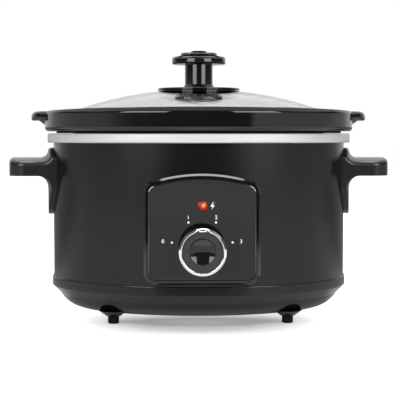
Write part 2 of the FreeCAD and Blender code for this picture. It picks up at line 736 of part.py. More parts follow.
def lid_knob():
    """Grip with a stem and a stepped mushroom cap, drilled for the lid screw."""
    hole = LID_SCREW_RADIUS + SCREW_GAP
    cap_low = KNOB_SEAT + KNOB_STEM_HEIGHT
    cap_top = cap_low + KNOB_CAP_HEIGHT
    tier_top = cap_top + KNOB_TIER_HEIGHT
    button_top = tier_top + KNOB_BUTTON_HEIGHT
    neck = KNOB_SEAT + KNOB_STEM_FLARE
    rim_top = cap_top - KNOB_CAP_SLOPE
    edge = KNOB_CAP_EDGE
    hole_top = KNOB_SEAT + LID_SCREW_GRIP + SCREW_GAP
    profile = polyline(
        [
            (0.0, hole_top),
            (hole, hole_top),
            (hole, KNOB_SEAT),
            (KNOB_SEAT_RADIUS, KNOB_SEAT),
            (KNOB_STEM_RADIUS, neck),
            (KNOB_STEM_RADIUS, cap_low),
            (KNOB_CAP_RADIUS - edge, cap_low),
        ]
    )
    profile.append(quarter(KNOB_CAP_RADIUS, cap_low, -1, 1, edge))
    profile += polyline([(KNOB_CAP_RADIUS, cap_low + edge), (KNOB_CAP_RADIUS, rim_top - edge)])
    profile.append(quarter(KNOB_CAP_RADIUS, rim_top, -1, -1, edge))
    profile += polyline(
        [
            (KNOB_CAP_RADIUS - edge, rim_top),
            (KNOB_TIER_RADIUS, cap_top),
            (KNOB_TIER_RADIUS, tier_top - edge),
        ]
    )
    profile.append(quarter(KNOB_TIER_RADIUS, tier_top, -1, -1, edge))
    profile += polyline(
        [
            (KNOB_TIER_RADIUS - edge, tier_top),
            (KNOB_BUTTON_RADIUS, tier_top),
            (KNOB_BUTTON_RADIUS, button_top - edge),
        ]
    )
    profile.append(quarter(KNOB_BUTTON_RADIUS, button_top, -1, -1, edge))
    profile += polyline(
        [(KNOB_BUTTON_RADIUS - edge, button_top), (0.0, button_top), (0.0, hole_top)]
    )
    return turned(profile)


def lid_fixings():
    """Seal, retainer, washer and screw that clamp the knob to the glass from inside."""
    hole = LID_SCREW_RADIUS + SCREW_GAP
    seal_top = LID_CROWN - GLASS - SEAT_GAP
    seal_low = seal_top - LID_SEAL
    retainer_low = seal_low - RETAINER_HEIGHT
    washer_low = retainer_low + LID_SCREW_HEAD
    washer_top = washer_low + LID_WASHER
    retainer = Part.makeCone(
        RETAINER_RADIUS, RETAINER_TOP_RADIUS, RETAINER_HEIGHT, Vector(0, 0, retainer_low)
    )
    recess = cylinder(LID_WASHER_RADIUS + SCREW_GAP, retainer_low, washer_top)
    length = KNOB_SEAT + LID_SCREW_GRIP - washer_low
    bolt = screw(LID_SCREW_HEAD_RADIUS, LID_SCREW_HEAD, LID_SCREW_RADIUS, length)
    return {
        "lid_seal": tube(hole, LID_SEAL_RADIUS, seal_low, seal_top),
        "lid_retainer": retainer.cut([recess, cylinder(hole, retainer_low, seal_low)]),
        "lid_washer": tube(hole, LID_WASHER_RADIUS, washer_low, washer_top),
        "lid_screw": bolt.translated(Vector(0, 0, washer_low)),
    }


def back_gap(width, z_low, z_high):
    """Block that splits a band at the back of the oval."""
    return Part.makeBox(width, 2 * BODY_HALF_DEPTH, z_high - z_low, Vector(-width / 2, 0, z_low))


def heater_band():
    top = HEATER_BOTTOM + HEATER_HEIGHT
    inner = -LINER_INSET + SLIP_GAP
    outer = inner + HEATER_GAUGE
    band = oval_ring(inner, outer, HEATER_BOTTOM, top)
    band = band.cut(back_gap(HEATER_SPLIT, HEATER_BOTTOM, top))
    y_root = -wall_front(HEATER_SPLIT / 2, inner) + HEATER_GAUGE / 2
    tab = Part.makeBox(
        HEATER_GAUGE,
        HEATER_TAB,
        HEATER_TAB_HEIGHT,
        Vector(HEATER_SPLIT / 2, y_root, (HEATER_BOTTOM + top - HEATER_TAB_HEIGHT) / 2),
    )
    hole = cylinder(HEATER_BOLT_RADIUS + SCREW_GAP, -HEATER_SPLIT, HEATER_SPLIT)
    bolt_hole = placed(hole, heater_bolt_spot(), LEFT)
    return band.fuse([tab, mirrored(tab)]).cut(bolt_hole).removeSplitter()


def heater_bolt_spot():
    y_root = -wall_front(HEATER_SPLIT / 2, -LINER_INSET)
    return Vector(0, y_root + HEATER_TAB / 2 + HEATER_GAUGE, HEATER_BOTTOM + HEATER_HEIGHT / 2)


def heater_bolt():
    """Bolt through the two tabs, drawn up with a nut."""
    half = HEATER_SPLIT / 2 + HEATER_GAUGE
    length = 2 * half + HEATER_BOLT_HEAD
    bolt = screw(HEATER_BOLT_HEAD_RADIUS, HEATER_BOLT_HEAD, HEATER_BOLT_RADIUS, length)
    nut = hexagon(2 * HEATER_BOLT_HEAD_RADIUS, 2 * half, length)
    return placed(bolt.fuse(nut).removeSplitter(), heater_bolt_spot() - LEFT * half, LEFT)


def heater_insulation():
    low = HEATER_BOTTOM - INSULATION_MARGIN
    high = HEATER_BOTTOM + HEATER_HEIGHT + INSULATION_MARGIN
    inner = -LINER_INSET + SLIP_GAP + HEATER_GAUGE + SEAT_GAP
    blanket = oval_ring(inner, inner + INSULATION, low, high)
    return blanket.cut(back_gap(INSULATION_SPLIT, low, high))


def thermal_cutout():
    top = LINER_BOTTOM
    can = rounded_disc(CUTOUT_RADIUS, top - CUTOUT_HEIGHT, top, STRAP_GAUGE)
    return can.translated(Vector(CUTOUT_X, 0, 0))


def cutout_strap():
    """Bent strip that holds the cut-out against the liner."""
    low = LINER_BOTTOM - CUTOUT_HEIGHT
    half = CUTOUT_RADIUS + SLIP_GAP
    outer = half + STRAP_GAUGE
    reach = outer + STRAP_FOOT
    corners = [
        (-reach, LINER_BOTTOM),
        (-half, LINER_BOTTOM),
        (-half, low),
        (half, low),
        (half, LINER_BOTTOM),
        (reach, LINER_BOTTOM),
        (reach, LINER_BOTTOM - STRAP_GAUGE),
        (outer, LINER_BOTTOM - STRAP_GAUGE),
        (outer, low - STRAP_GAUGE),
        (-outer, low - STRAP_GAUGE),
        (-outer, LINER_BOTTOM - STRAP_GAUGE),
        (-reach, LINER_BOTTOM - STRAP_GAUGE),
        (-reach, LINER_BOTTOM),
    ]
    outline = Part.makePolygon([Vector(CUTOUT_X + x, -STRAP_WIDTH / 2, z) for x, z in corners])
    return Part.Face(outline).extrude(BACK * STRAP_WIDTH)


def tie_pieces():
    """Stud welded under the liner, with its washer and nut in the recess of the base."""
    recess_top = PAN_BOTTOM + TIE_RECESS_DEPTH
    washer_low = recess_top - TIE_WASHER
    nut_low = washer_low - TIE_NUT
    stud = cylinder(STUD_PLATE_RADIUS, LINER_BOTTOM - STUD_PLATE, LINER_BOTTOM)
    stud = stud.fuse(cylinder(STUD_RADIUS, nut_low - STUD_TAIL, LINER_BOTTOM - STUD_PLATE))
    hole = STUD_RADIUS + SCREW_GAP
    nut = hexagon(TIE_NUT_FLATS, nut_low, washer_low).cut(cylinder(hole, nut_low, washer_low))
    return {
        "tie_stud": stud.removeSplitter(),
        "tie_washer": tube(hole, TIE_WASHER_RADIUS, washer_low, recess_top),
        "tie_nut": nut,
    }


def panel_block(inset, y_front, y_back):
    """Block with the arched outline of the panel, drawn in by an inset, between two depths."""
    half = PANEL_WIDTH / 2 - inset
    low = PANEL_BOTTOM + inset
    radius = PANEL_ARCH - inset
    arch_centre = PANEL_BOTTOM + PANEL_HEIGHT - PANEL_ARCH
    shoulder = arch_centre + math.sqrt(radius**2 - half**2)
    left_low, right_low = Vector(-half, y_front, low), Vector(half, y_front, low)
    left_top, right_top = Vector(-half, y_front, shoulder), Vector(half, y_front, shoulder)
    crown = Vector(0, y_front, arch_centre + radius)
    edges = [
        Part.makeLine(left_low, right_low),
        Part.makeLine(right_low, right_top),
        Part.Arc(right_top, crown, left_top).toShape(),
        Part.makeLine(left_top, left_low),
    ]
    block = Part.Face(Part.Wire(edges)).extrude(BACK * (y_back - y_front))
    corners = [edge for edge in block.Edges if runs_along(edge, BACK)]
    return rounded(block, PANEL_CORNER - inset, corners)


def control_bezel():
    """Arched frame that stands off the housing, its back cut to the curve of the wall."""
    frame = panel_block(0.0, PANEL_FRONT, 0.0)
    face_edges = edges_where(frame, lambda p: abs(p.y - PANEL_FRONT) < TOUCH)
    frame = frame.makeChamfer(BEZEL_BEVEL_DEPTH, BEZEL_BEVEL, face_edges)
    ledge_back = FASCIA_BACK + BEZEL_LEDGE_DEPTH
    frame = frame.cut(
        [
            panel_block(BEZEL_FRAME, PANEL_FRONT, FASCIA_BACK),
            panel_block(BEZEL_FRAME + BEZEL_LEDGE, FASCIA_BACK, ledge_back),
            panel_block(BEZEL_WALL, ledge_back, 0.0),
        ]
    )
    bosses = []
    holes = []
    for spot in bezel_screw_spots():
        mouth = Vector(spot.x, wall_front(spot.x, 0.0), spot.z)
        bosses.append(placed(cylinder(BEZEL_BOSS_RADIUS, 0.0, -ledge_back), spot, FRONT))
        depth = BEZEL_SCREW_GRIP + SCREW_GAP
        hole = cylinder(BEZEL_SCREW_RADIUS + SCREW_GAP, -depth, depth)
        holes.append(placed(hole, mouth, FRONT))
    back = oval_prism(SLIP_GAP, BASE_TOP, WALL_TOP)
    return frame.fuse(bosses).cut([back] + holes).removeSplitter()


def bezel_screws():
    """Four screws driven forward through the housing wall into the bezel's bosses."""
    screws = []
    for spot in bezel_screw_spots():
        x_far = abs(spot.x) + BEZEL_SCREW_HEAD_RADIUS
        seat = wall_front(x_far, -WALL_GAUGE) + SCREW_GAP
        length = seat - wall_front(spot.x, 0.0) + BEZEL_SCREW_GRIP
        shape = screw(BEZEL_SCREW_HEAD_RADIUS, BEZEL_SCREW_HEAD, BEZEL_SCREW_RADIUS, length)
        screws.append(placed(shape, Vector(spot.x, seat, spot.z), FRONT))
    return Part.makeCompound(screws)


def on_panel(shape, height):
    """Shape built about +Z from the front of the fascia, moved to its place on the panel."""
    return placed(shape, Vector(0, FASCIA_FRONT, height), FRONT)


def control_fascia():
    plate = panel_block(BEZEL_FRAME + SCREW_GAP, FASCIA_FRONT, FASCIA_BACK)
    dial_hole = on_panel(cylinder(SWITCH_BUSH_RADIUS + SCREW_GAP, -FASCIA, 0.0), DIAL_HEIGHT)
    lamp_hole = on_panel(cylinder(LENS_RADIUS + SCREW_GAP, -FASCIA, 0.0), LAMP_HEIGHT)
    return plate.cut([dial_hole, lamp_hole])


def rotary_switch():
    """Moulded switch behind the fascia, with a threaded bush and side tabs."""
    half = SWITCH_SIZE / 2
    back = -FASCIA - SWITCH_DEPTH
    body = Part.makeBox(SWITCH_SIZE, SWITCH_SIZE, SWITCH_DEPTH, Vector(-half, -half, back))
    upright = [edge for edge in body.Edges if runs_along(edge, UP)]
    body = rounded(body, SWITCH_CORNER, upright)
    body = body.fuse(cylinder(SWITCH_BUSH_RADIUS, -FASCIA, SWITCH_BUSH))
    corner = Vector(-SWITCH_TAB_WIDTH / 2, -half - SWITCH_TAB_LENGTH, back + SWITCH_DEPTH / 2)
    tab = Part.makeBox(SWITCH_TAB_WIDTH, SWITCH_TAB_LENGTH, SWITCH_TAB_GAUGE, corner)
    for i in (-1, 0, 1):
        body = body.fuse(tab.translated(Vector(i * SWITCH_TAB_PITCH, 0, 0)))
    bore = cylinder(SHAFT_RADIUS + RUNNING_GAP, -FASCIA - SHAFT_ROOT - SEAT_GAP, SWITCH_BUSH)
    return on_panel(body.cut(bore).removeSplitter(), DIAL_HEIGHT)


def switch_nut():
    hole = cylinder(SWITCH_BUSH_RADIUS + SCREW_GAP, 0.0, SWITCH_NUT)
    return on_panel(hexagon(SWITCH_NUT_FLATS, 0.0, SWITCH_NUT).cut(hole), DIAL_HEIGHT)


def flatted(radius, flat, z_low, z_high, flat_from):
    """Round bar with a flat along its upper side."""
    bar = cylinder(radius, z_low, z_high)
    cut = Part.makeBox(2 * radius, radius, z_high - flat_from, Vector(-radius, flat, flat_from))
    return bar.cut(cut)


def switch_shaft():
    shaft = flatted(SHAFT_RADIUS, SHAFT_FLAT, -FASCIA - SHAFT_ROOT, SHAFT_TIP, DIAL_POCKET)
    return on_panel(shaft, DIAL_HEIGHT)


def control_knob():
    """Turned knob with a hollow back, a seat for the trim ring and a pocket for the dish."""
    body = cylinder(DIAL_RADIUS, DIAL_GAP, DIAL_SKIRT)
    body = body.fuse(ring_opening(-SCREW_GAP, DIAL_FACE))
    pocket_floor = DIAL_FACE - DISH_THICKNESS
    bore = flatted(
        SHAFT_RADIUS + RUNNING_GAP,
        SHAFT_FLAT + RUNNING_GAP,
        DIAL_POCKET,
        SHAFT_TIP + RUNNING_GAP,
        DIAL_POCKET,
    )
    body = body.cut(
        [
            cylinder(DIAL_POCKET_RADIUS, DIAL_GAP, DIAL_POCKET),
            cylinder(DISH_RADIUS + SCREW_GAP, pocket_floor, DIAL_FACE),
            bore,
        ]
    )
    pointer = Part.makeBox(
        POINTER_WIDTH,
        POINTER_LENGTH,
        POINTER_RISE,
        Vector(-POINTER_WIDTH / 2, POINTER_REACH - POINTER_LENGTH, DIAL_FACE),
    )
    return on_panel(body.fuse(pointer).removeSplitter(), DIAL_HEIGHT)


def ring_opening(margin, front):
    """Block that fills the trim ring and its notch, grown by a margin."""
    disc = cylinder(RING_OUTER_RADIUS - RING_WIDTH + margin, DIAL_SKIRT, front)
    notch = cylinder(NOTCH_RADIUS + margin, DIAL_SKIRT, front)
    return disc.fuse(notch.translated(Vector(0, NOTCH_REACH - NOTCH_RADIUS, 0))).removeSplitter()


def ring_plug(radius, edge, front):
    """Cutter for a round opening whose front edge is rounded."""
    beyond = RING_FRONT + CUT_MARGIN
    profile = polyline(
        [
            (radius + edge, front),
            (radius + edge, beyond),
            (0.0, beyond),
            (0.0, DIAL_SKIRT),
            (radius, DIAL_SKIRT),
            (radius, front - edge),
        ]
    )
    profile.append(quarter(radius, front, 1, -1, edge))
    return turned(profile)


def knob_ring():
    """Bevelled trim ring round the knob, notched for the pointer."""
    shoulder = RING_FRONT - RING_BEVEL_DEPTH
    profile = polyline(
        [
            (0.0, RING_FRONT),
            (0.0, DIAL_SKIRT),
            (RING_OUTER_RADIUS, DIAL_SKIRT),
            (RING_OUTER_RADIUS, shoulder),
            (RING_OUTER_RADIUS - RING_BEVEL, RING_FRONT),
            (0.0, RING_FRONT),
        ]
    )
    opening = ring_plug(RING_OUTER_RADIUS - RING_WIDTH, RING_INNER_EDGE, RING_FRONT)
    notch = ring_plug(NOTCH_RADIUS, NOTCH_EDGE, RING_FRONT - NOTCH_SINK)
    notch.translate(Vector(0, NOTCH_REACH - NOTCH_RADIUS, 0))
    return on_panel(turned(profile).cut([opening, notch]), DIAL_HEIGHT)


def knob_dish():
    """Concave insert in the middle of the control knob."""
    low = DIAL_FACE - DISH_THICKNESS
    rim = DISH_RADIUS - DISH_EDGE
    ball = (rim**2 + DISH_SAG**2) / (2 * DISH_SAG)
    half = rim / 2
    half_height = DIAL_FACE - DISH_SAG + ball - math.sqrt(ball**2 - half**2)
    profile = polyline(
        [
            (0.0, DIAL_FACE - DISH_SAG),
            (0.0, low),
            (DISH_RADIUS, low),
            (DISH_RADIUS, DIAL_FACE),
            (rim, DIAL_FACE),
        ]
    )
    profile.append(arc((rim, DIAL_FACE), (half, half_height), (0.0, DIAL_FACE - DISH_SAG)))
    return on_panel(turned(profile), DIAL_HEIGHT)


def lamp_lens():
    ball = (LENS_RADIUS**2 + LENS_DOME**2) / (2 * LENS_DOME)
    half = LENS_RADIUS / 2
    top = LENS_SIDE + LENS_DOME
    half_height = top - ball + math.sqrt(ball**2 - half**2)
    profile = polyline([(0.0, top), (0.0, -FASCIA), (LENS_RADIUS, -FASCIA), (LENS_RADIUS, LENS_SIDE)])
    profile.append(arc((LENS_RADIUS, LENS_SIDE), (half, half_height), (0.0, top)))
    return on_panel(turned(profile), LAMP_HEIGHT)


def lamp_holder():
    back = -FASCIA - LAMP_FLANGE
    body = cylinder(LAMP_FLANGE_RADIUS, back, -FASCIA)
    body = body.fuse(cylinder(LAMP_BODY_RADIUS, back - LAMP_BODY, back))
    return on_panel(body.removeSplitter(), LAMP_HEIGHT)


def handle_outline():
    """Arched shield outline of the mounting plate, seen from the end, as a block through the left side."""
    low = HANDLE_TOP - HANDLE_PLATE_HEIGHT
    shelf_low = SHELF_BOTTOM - SHELF_ROOT_BOTTOM
    tongue_top = low + HANDLE_TONGUE_RISE
    wide = HANDLE_PLATE_HALF_WIDTH
    tongue = HANDLE_TONGUE_HALF_WIDTH

    def spot(y, z):
        return Vector(-BODY_HALF_LENGTH - HANDLE_REACH - CUT_MARGIN, y, z)

    edges = [
        Part.Arc(spot(-wide, SHELF_TOP), spot(0, HANDLE_TOP), spot(wide, SHELF_TOP)).toShape(),
        Part.makeLine(spot(wide, SHELF_TOP), spot(wide, shelf_low)),
        Part.makeLine(spot(wide, shelf_low), spot(tongue, tongue_top)),
        Part.Arc(spot(tongue, tongue_top), spot(0, low), spot(-tongue, tongue_top)).toShape(),
        Part.makeLine(spot(-tongue, tongue_top), spot(-wide, shelf_low)),
        Part.makeLine(spot(-wide, shelf_low), spot(-wide, SHELF_TOP)),
    ]
    return Part.Face(Part.Wire(edges)).extrude(-LEFT * (BODY_HALF_LENGTH + HANDLE_REACH))


def crown_block(drop):
    """Block under the crowned top of the left shelf, lowered by a drop."""
    half = HANDLE_PLATE_HALF_WIDTH + SHELF_ROOT_BOTTOM
    crown = SHELF_TOP - drop
    side = crown - SHELF_CROWN_RADIUS + math.sqrt(SHELF_CROWN_RADIUS**2 - half**2)
    reach = BODY_HALF_LENGTH + HANDLE_REACH

    def spot(y, z):
        return Vector(-reach - CUT_MARGIN, y, z)

    edges = [
        Part.Arc(spot(-half, side), spot(0, crown), spot(half, side)).toShape(),
        Part.makeLine(spot(half, side), spot(half, SHELF_BOTTOM)),
        Part.makeLine(spot(half, SHELF_BOTTOM), spot(-half, SHELF_BOTTOM)),
        Part.makeLine(spot(-half, SHELF_BOTTOM), spot(-half, side)),
    ]
    return Part.Face(Part.Wire(edges)).extrude(-LEFT * (reach - BODY_HALF_LENGTH / 2))


def shelf_pocket():
    """Hollow under the left shelf, in two halves beside a rib."""
    half = HANDLE_PLATE_HALF_WIDTH - SHELF_SKIN
    root = SLIP_GAP + HANDLE_PLATE + SHELF_ROOT_BOTTOM
    ring = oval_ring(root, HANDLE_REACH - SHELF_SKIN, SHELF_BOTTOM, SHELF_TOP)
    tip = BODY_HALF_LENGTH + HANDLE_REACH
    width = Part.makeBox(tip, 2 * half, SHELF_THICKNESS, Vector(-tip, -half, SHELF_BOTTOM))
    pocket = ring.common(crown_block(SHELF_SKIN)).common(width)
    corners = [e for e in pocket.Edges if runs_along(e, UP) and is_shelf_tip(e.CenterOfMass)]
    pocket = rounded(pocket, SHELF_CORNER - SHELF_SKIN, corners)
    rib = Part.makeBox(tip, SHELF_RIB, SHELF_THICKNESS, Vector(-tip, -SHELF_RIB / 2, SHELF_BOTTOM))
    return pocket.cut(rib)


def handle():
    """Left handle: a curved mounting plate and a crowned shelf, hollow and ribbed underneath."""
    outer = SLIP_GAP + HANDLE_PLATE
    shelf = oval_prism(HANDLE_REACH, SHELF_BOTTOM, SHELF_TOP).common(crown_block(0.0))
    plate = oval_prism(outer, HANDLE_TOP - HANDLE_PLATE_HEIGHT, HANDLE_TOP)
    body = plate.common(plate_sector()).fuse(shelf).removeSplitter()
    root = edges_where(body, lambda p: on_oval(p, outer) and abs(p.z - SHELF_BOTTOM) < TOUCH)
    body = rounded(body, SHELF_ROOT_BOTTOM, root)
    root = edges_where(body, lambda p: on_oval(p, outer) and on_crown(p))
    body = rounded(body, SHELF_ROOT_TOP, root).common(handle_outline())
    corners = [e for e in body.Edges if runs_along(e, UP) and is_shelf_tip(e.CenterOfMass)]
    body = rounded(body, SHELF_CORNER, corners)
    rim = edges_where(body, on_crown)
    rim = [e for e in rim if is_shelf_rim(e.discretize(3)[1])]
    body = rounded(body, SHELF_EDGE, rim)
    crest = edges_where(body, lambda p: on_plate_arch(p) and oval_share(p, SLIP_GAP) > 1.0)
    body = rounded(body, HANDLE_TOP_EDGE, crest)
    body = body.cut(oval_prism(SLIP_GAP, 0.0, WALL_TOP)).cut(shelf_pocket())
    for height, grip in zip(HANDLE_SCREW_HEIGHTS, HANDLE_SCREW_GRIPS):
        hole = cylinder(HANDLE_SCREW_RADIUS + SCREW_GAP, 0.0, BODY_HALF_LENGTH + grip + SCREW_GAP)
        body = body.cut(placed(hole, Vector(0, 0, height), LEFT))
    return body


def plate_sector():
    """Block round the left end of the oval, a little wider than the handle."""
    half = HANDLE_PLATE_HALF_WIDTH + SHELF_ROOT_BOTTOM
    tip = BODY_HALF_LENGTH + HANDLE_REACH
    return Part.makeBox(tip - BODY_HALF_LENGTH / 2, 2 * half, WALL_TOP, Vector(-tip, -half, 0))


def on_crown(point):
    axis = SHELF_TOP - SHELF_CROWN_RADIUS
    return abs(math.hypot(point.y, point.z - axis) - SHELF_CROWN_RADIUS) < TOUCH


def on_plate_arch(point):
    """True for a point on the arched top of the handle's plate."""
    radius = (HANDLE_PLATE_HALF_WIDTH**2 + SHELF_DROP**2) / (2 * SHELF_DROP)
    axis = HANDLE_TOP - radius
    return abs(math.hypot(point.y, point.z - axis) - radius) < TOUCH


def is_shelf_tip(point):
    return point.x < -BODY_HALF_LENGTH - HANDLE_REACH + SHELF_CORNER


def is_shelf_rim(point):
    """True for a point on the outer edge of the shelf, away from its root."""
    return is_shelf_tip(point) or abs(point.y) > HANDLE_PLATE_HALF_WIDTH - TOUCH


def handle_screws():
    """Screws for the left handle, driven outward through the backing plate and the wall."""
    screws = []
    for height, grip in zip(HANDLE_SCREW_HEIGHTS, HANDLE_SCREW_GRIPS):
        backing = -WALL_GAUGE - SLIP_GAP - BACKING_GAUGE
        seat = wall_side(HANDLE_SCREW_HEAD_RADIUS, backing) - SCREW_GAP
        length = BODY_HALF_LENGTH + grip - seat
        shape = screw(HANDLE_SCREW_HEAD_RADIUS, HANDLE_SCREW_HEAD, HANDLE_SCREW_RADIUS, length)
        screws.append(placed(shape, Vector(-seat, 0, height), LEFT))
    return Part.makeCompound(screws)


def handle_backing():
    """Steel strip inside the wall that spreads the load of the left handle."""
    outer = -WALL_GAUGE - SLIP_GAP
    low = min(HANDLE_SCREW_HEIGHTS) - BACKING_MARGIN
    high = max(HANDLE_SCREW_HEIGHTS) + BACKING_MARGIN
    strip = oval_ring(outer - BACKING_GAUGE, outer, low, high)
    half = BACKING_HALF_WIDTH
    end = Part.makeBox(BODY_HALF_LENGTH, 2 * half, high - low, Vector(-BODY_HALF_LENGTH, -half, low))
    strip = strip.common(end)
    hole = cylinder(HANDLE_SCREW_RADIUS + SCREW_GAP, 0.0, BODY_HALF_LENGTH)
    for height in HANDLE_SCREW_HEIGHTS:
        strip = strip.cut(placed(hole, Vector(0, 0, height), LEFT))
    return strip


def at_inlet(shape):
    """Shape built about +Z from the outside of the wall, moved to the inlet at the back."""
    return placed(shape, Vector(0, BODY_HALF_DEPTH, GLAND_HEIGHT), BACK)


def cord_gland():
    """Flanged bush through the back wall, with a bore for the mains lead."""
    flange_top = SLIP_GAP + GLAND_FLANGE
    body = cylinder(GLAND_FLANGE_RADIUS, SLIP_GAP, flange_top)
    body = rounded(body, GLAND_EDGE, edges_at_height(body, flange_top))
    body = body.fuse(cylinder(GLAND_BARREL_RADIUS, -GLAND_TAIL, SLIP_GAP))
    bore = cylinder(GLAND_BORE_RADIUS, -GLAND_TAIL, flange_top)
    return at_inlet(body.cut(bore).removeSplitter())


def gland_nut():
    front = -wall_front(GLAND_NUT_RADIUS, -WALL_GAUGE) - BODY_HALF_DEPTH - SCREW_GAP
    hole = cylinder(GLAND_BARREL_RADIUS + SCREW_GAP, front - GLAND_NUT, front)
    return at_inlet(hexagon(math.sqrt(3) * GLAND_NUT_RADIUS, front - GLAND_NUT, front).cut(hole))


def terminal_block():
    """Screw terminal strip on the floor of the base, one way per conductor."""
    corner = Vector(TERMINAL_X - TERMINAL_LENGTH / 2, TERMINAL_Y - TERMINAL_WIDTH / 2, PAN_FLOOR)
    block = Part.makeBox(TERMINAL_LENGTH, TERMINAL_WIDTH, TERMINAL_HEIGHT, corner)
    pitch = TERMINAL_LENGTH / TERMINAL_WAYS
    ways = []
    for i in range(TERMINAL_WAYS):
        x = corner.x + (i + 0.5) * pitch
        way = cylinder(TERMINAL_WAY_RADIUS, 0.0, TERMINAL_WIDTH)
        ways.append(placed(way, Vector(x, corner.y, PAN_FLOOR + TERMINAL_HEIGHT / 2), BACK))
    return block.cut(ways)


def parts():
    pieces = {
        "base_pan": base_pan(),
        "foot_screws": Part.makeCompound(
            [foot_screw().translated(Vector(sx * FOOT_X, sy * FOOT_Y, 0)) for sx, sy in signs()]
        ),
        "housing_wall": housing_wall(),
        "heating_liner": heating_liner(),
        "crock": crock(),
        "lid_glass": lid_glass(),
        "lid_knob_base": lid_knob_base(),
        "lid_knob": lid_knob(),
        "heater_band": heater_band(),
        "heater_bolt": heater_bolt(),
        "heater_insulation": heater_insulation(),
        "thermal_cutout": thermal_cutout(),
        "cutout_strap": cutout_strap(),
        "control_bezel": control_bezel(),
        "bezel_screws": bezel_screws(),
        "control_fascia": control_fascia(),
        "rotary_switch": rotary_switch(),
        "switch_nut": switch_nut(),
        "switch_shaft": switch_shaft(),
        "control_knob": control_knob(),
        "knob_ring": knob_ring(),
        "knob_dish": knob_dish(),
        "lamp_lens": lamp_lens(),
        "lamp_holder": lamp_holder(),
        "cord_gland": cord_gland(),
        "gland_nut": gland_nut(),
        "terminal_block": terminal_block(),
    }
    for name, make in (("", handle), ("_screws", handle_screws), ("_backing", handle_backing)):
        left = make()
        pieces["handle" + name + "_left"] = left
        pieces["handle" + name + "_right"] = mirrored(left)
    for name, (sx, sy) in zip(("front_left", "front_right", "rear_left", "rear_right"), signs()):
        pieces["foot_" + name] = foot().translated(Vector(sx * FOOT_X, sy * FOOT_Y, 0))
    pieces.update(lid_fixings())
    pieces.update(tie_pieces())
    return pieces


os.makedirs("parts", exist_ok=True)
for node, shape in parts().items():
    shape.exportStep("parts/" + node + ".step")
    print(node, shape.isValid(), len(shape.Solids), round(shape.Volume / 1000, 2))
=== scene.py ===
# %% [markdown]
# # An oval slow cooker, dressed for its portrait
# The cooker's solids come from CAD: a steel housing on a moulded base, a stoneware crock, a glass lid and
# a control panel. This lesson gives each of them the finish it has in the kitchen, adds the print and the
# fine edges of the panel and the seam of the housing, and sets up a small photo studio round it. The
# solids are loaded first.

# %% Load the solids
import json
import math

import bmesh
import bpy
from mathutils import Matrix, Vector


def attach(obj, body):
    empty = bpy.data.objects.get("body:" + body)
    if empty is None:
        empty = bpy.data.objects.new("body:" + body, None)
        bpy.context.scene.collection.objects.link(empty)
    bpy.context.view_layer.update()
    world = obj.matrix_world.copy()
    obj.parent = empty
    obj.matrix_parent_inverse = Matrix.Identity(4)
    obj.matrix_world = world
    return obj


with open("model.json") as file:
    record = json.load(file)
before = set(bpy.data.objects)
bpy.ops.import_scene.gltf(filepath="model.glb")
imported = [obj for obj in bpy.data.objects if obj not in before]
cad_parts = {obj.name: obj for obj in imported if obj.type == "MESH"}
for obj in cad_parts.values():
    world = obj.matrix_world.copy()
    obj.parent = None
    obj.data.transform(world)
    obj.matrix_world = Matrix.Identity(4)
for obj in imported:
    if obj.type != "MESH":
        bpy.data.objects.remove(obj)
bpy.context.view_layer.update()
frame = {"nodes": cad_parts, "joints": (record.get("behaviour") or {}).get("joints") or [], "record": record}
nodes = frame["nodes"]

# %% [markdown]
# ## Helpers that wire nodes
# Every finish below is a Principled shader with a few texture nodes in front of it. They could be wired
# one by one each time, but three small helpers keep the cells short: one starts a finish, one adds a node
# and fills its sockets, and one feeds the shader. A value that is the same all over is set on the shader
# itself.

# %% Start a finish, add a node, feed the shader
SHADER = "Principled BSDF"


def start_finish(name, **values):
    """Makes a material and its node tree. A keyword such as Coat_Weight sets that socket of the shader."""
    finish = bpy.data.materials.new(name)
    finish.use_nodes = True
    tree = finish.node_tree
    for socket, value in values.items():
        tree.nodes[SHADER].inputs[socket.replace("_", " ")].default_value = value
    return finish, tree


def add_node(tree, kind, inputs=None, **settings):
    """Adds a node. An input that is another node's output is linked, and a plain value is set."""
    node = tree.nodes.new(kind)
    for setting, value in settings.items():
        setattr(node, setting, value)
    for socket, value in (inputs or {}).items():
        if isinstance(value, bpy.types.NodeSocket):
            tree.links.new(value, node.inputs[socket])
        else:
            node.inputs[socket].default_value = value
    return node


def feed(tree, **outputs):
    """Links the outputs of other nodes to sockets of the shader."""
    for socket, output in outputs.items():
        tree.links.new(output, tree.nodes[SHADER].inputs[socket.replace("_", " ")])


print("helpers:", start_finish.__name__, add_node.__name__, feed.__name__)

# %% [markdown]
# ## Helpers for patterns
# A real surface varies a little from place to place. A soft noise gives that variation, and a colour, a
# number or a bump follows it. The noise stays near its middle, so only that span of it is stretched over
# the range. It reads Object coordinates, so that the pattern stays on its piece when the piece moves.

# %% Place, noise, colour, number and bump
NOISE_SPAN = (0.3, 0.7)
FULL_SPAN = (0.0, 1.0)


def object_place(tree):
    return add_node(tree, "ShaderNodeTexCoord").outputs["Object"]


def noise(tree, place, scale, detail=2.0):
    inputs = {"Vector": place, "Scale": scale, "Detail": detail}
    return add_node(tree, "ShaderNodeTexNoise", inputs).outputs["Fac"]


def blend_colours(tree, factor, dark, light, span=NOISE_SPAN):
    ramp = add_node(tree, "ShaderNodeValToRGB", {"Fac": factor})
    for element, spot, colour in zip(ramp.color_ramp.elements, span, (dark, light)):
        element.position = spot
        element.color = (*colour, 1.0)
    return ramp.outputs["Color"]


def spread(tree, factor, low, high, span=NOISE_SPAN):
    inputs = {"Value": factor, "From Min": span[0], "From Max": span[1], "To Min": low, "To Max": high}
    return add_node(tree, "ShaderNodeMapRange", inputs).outputs["Result"]


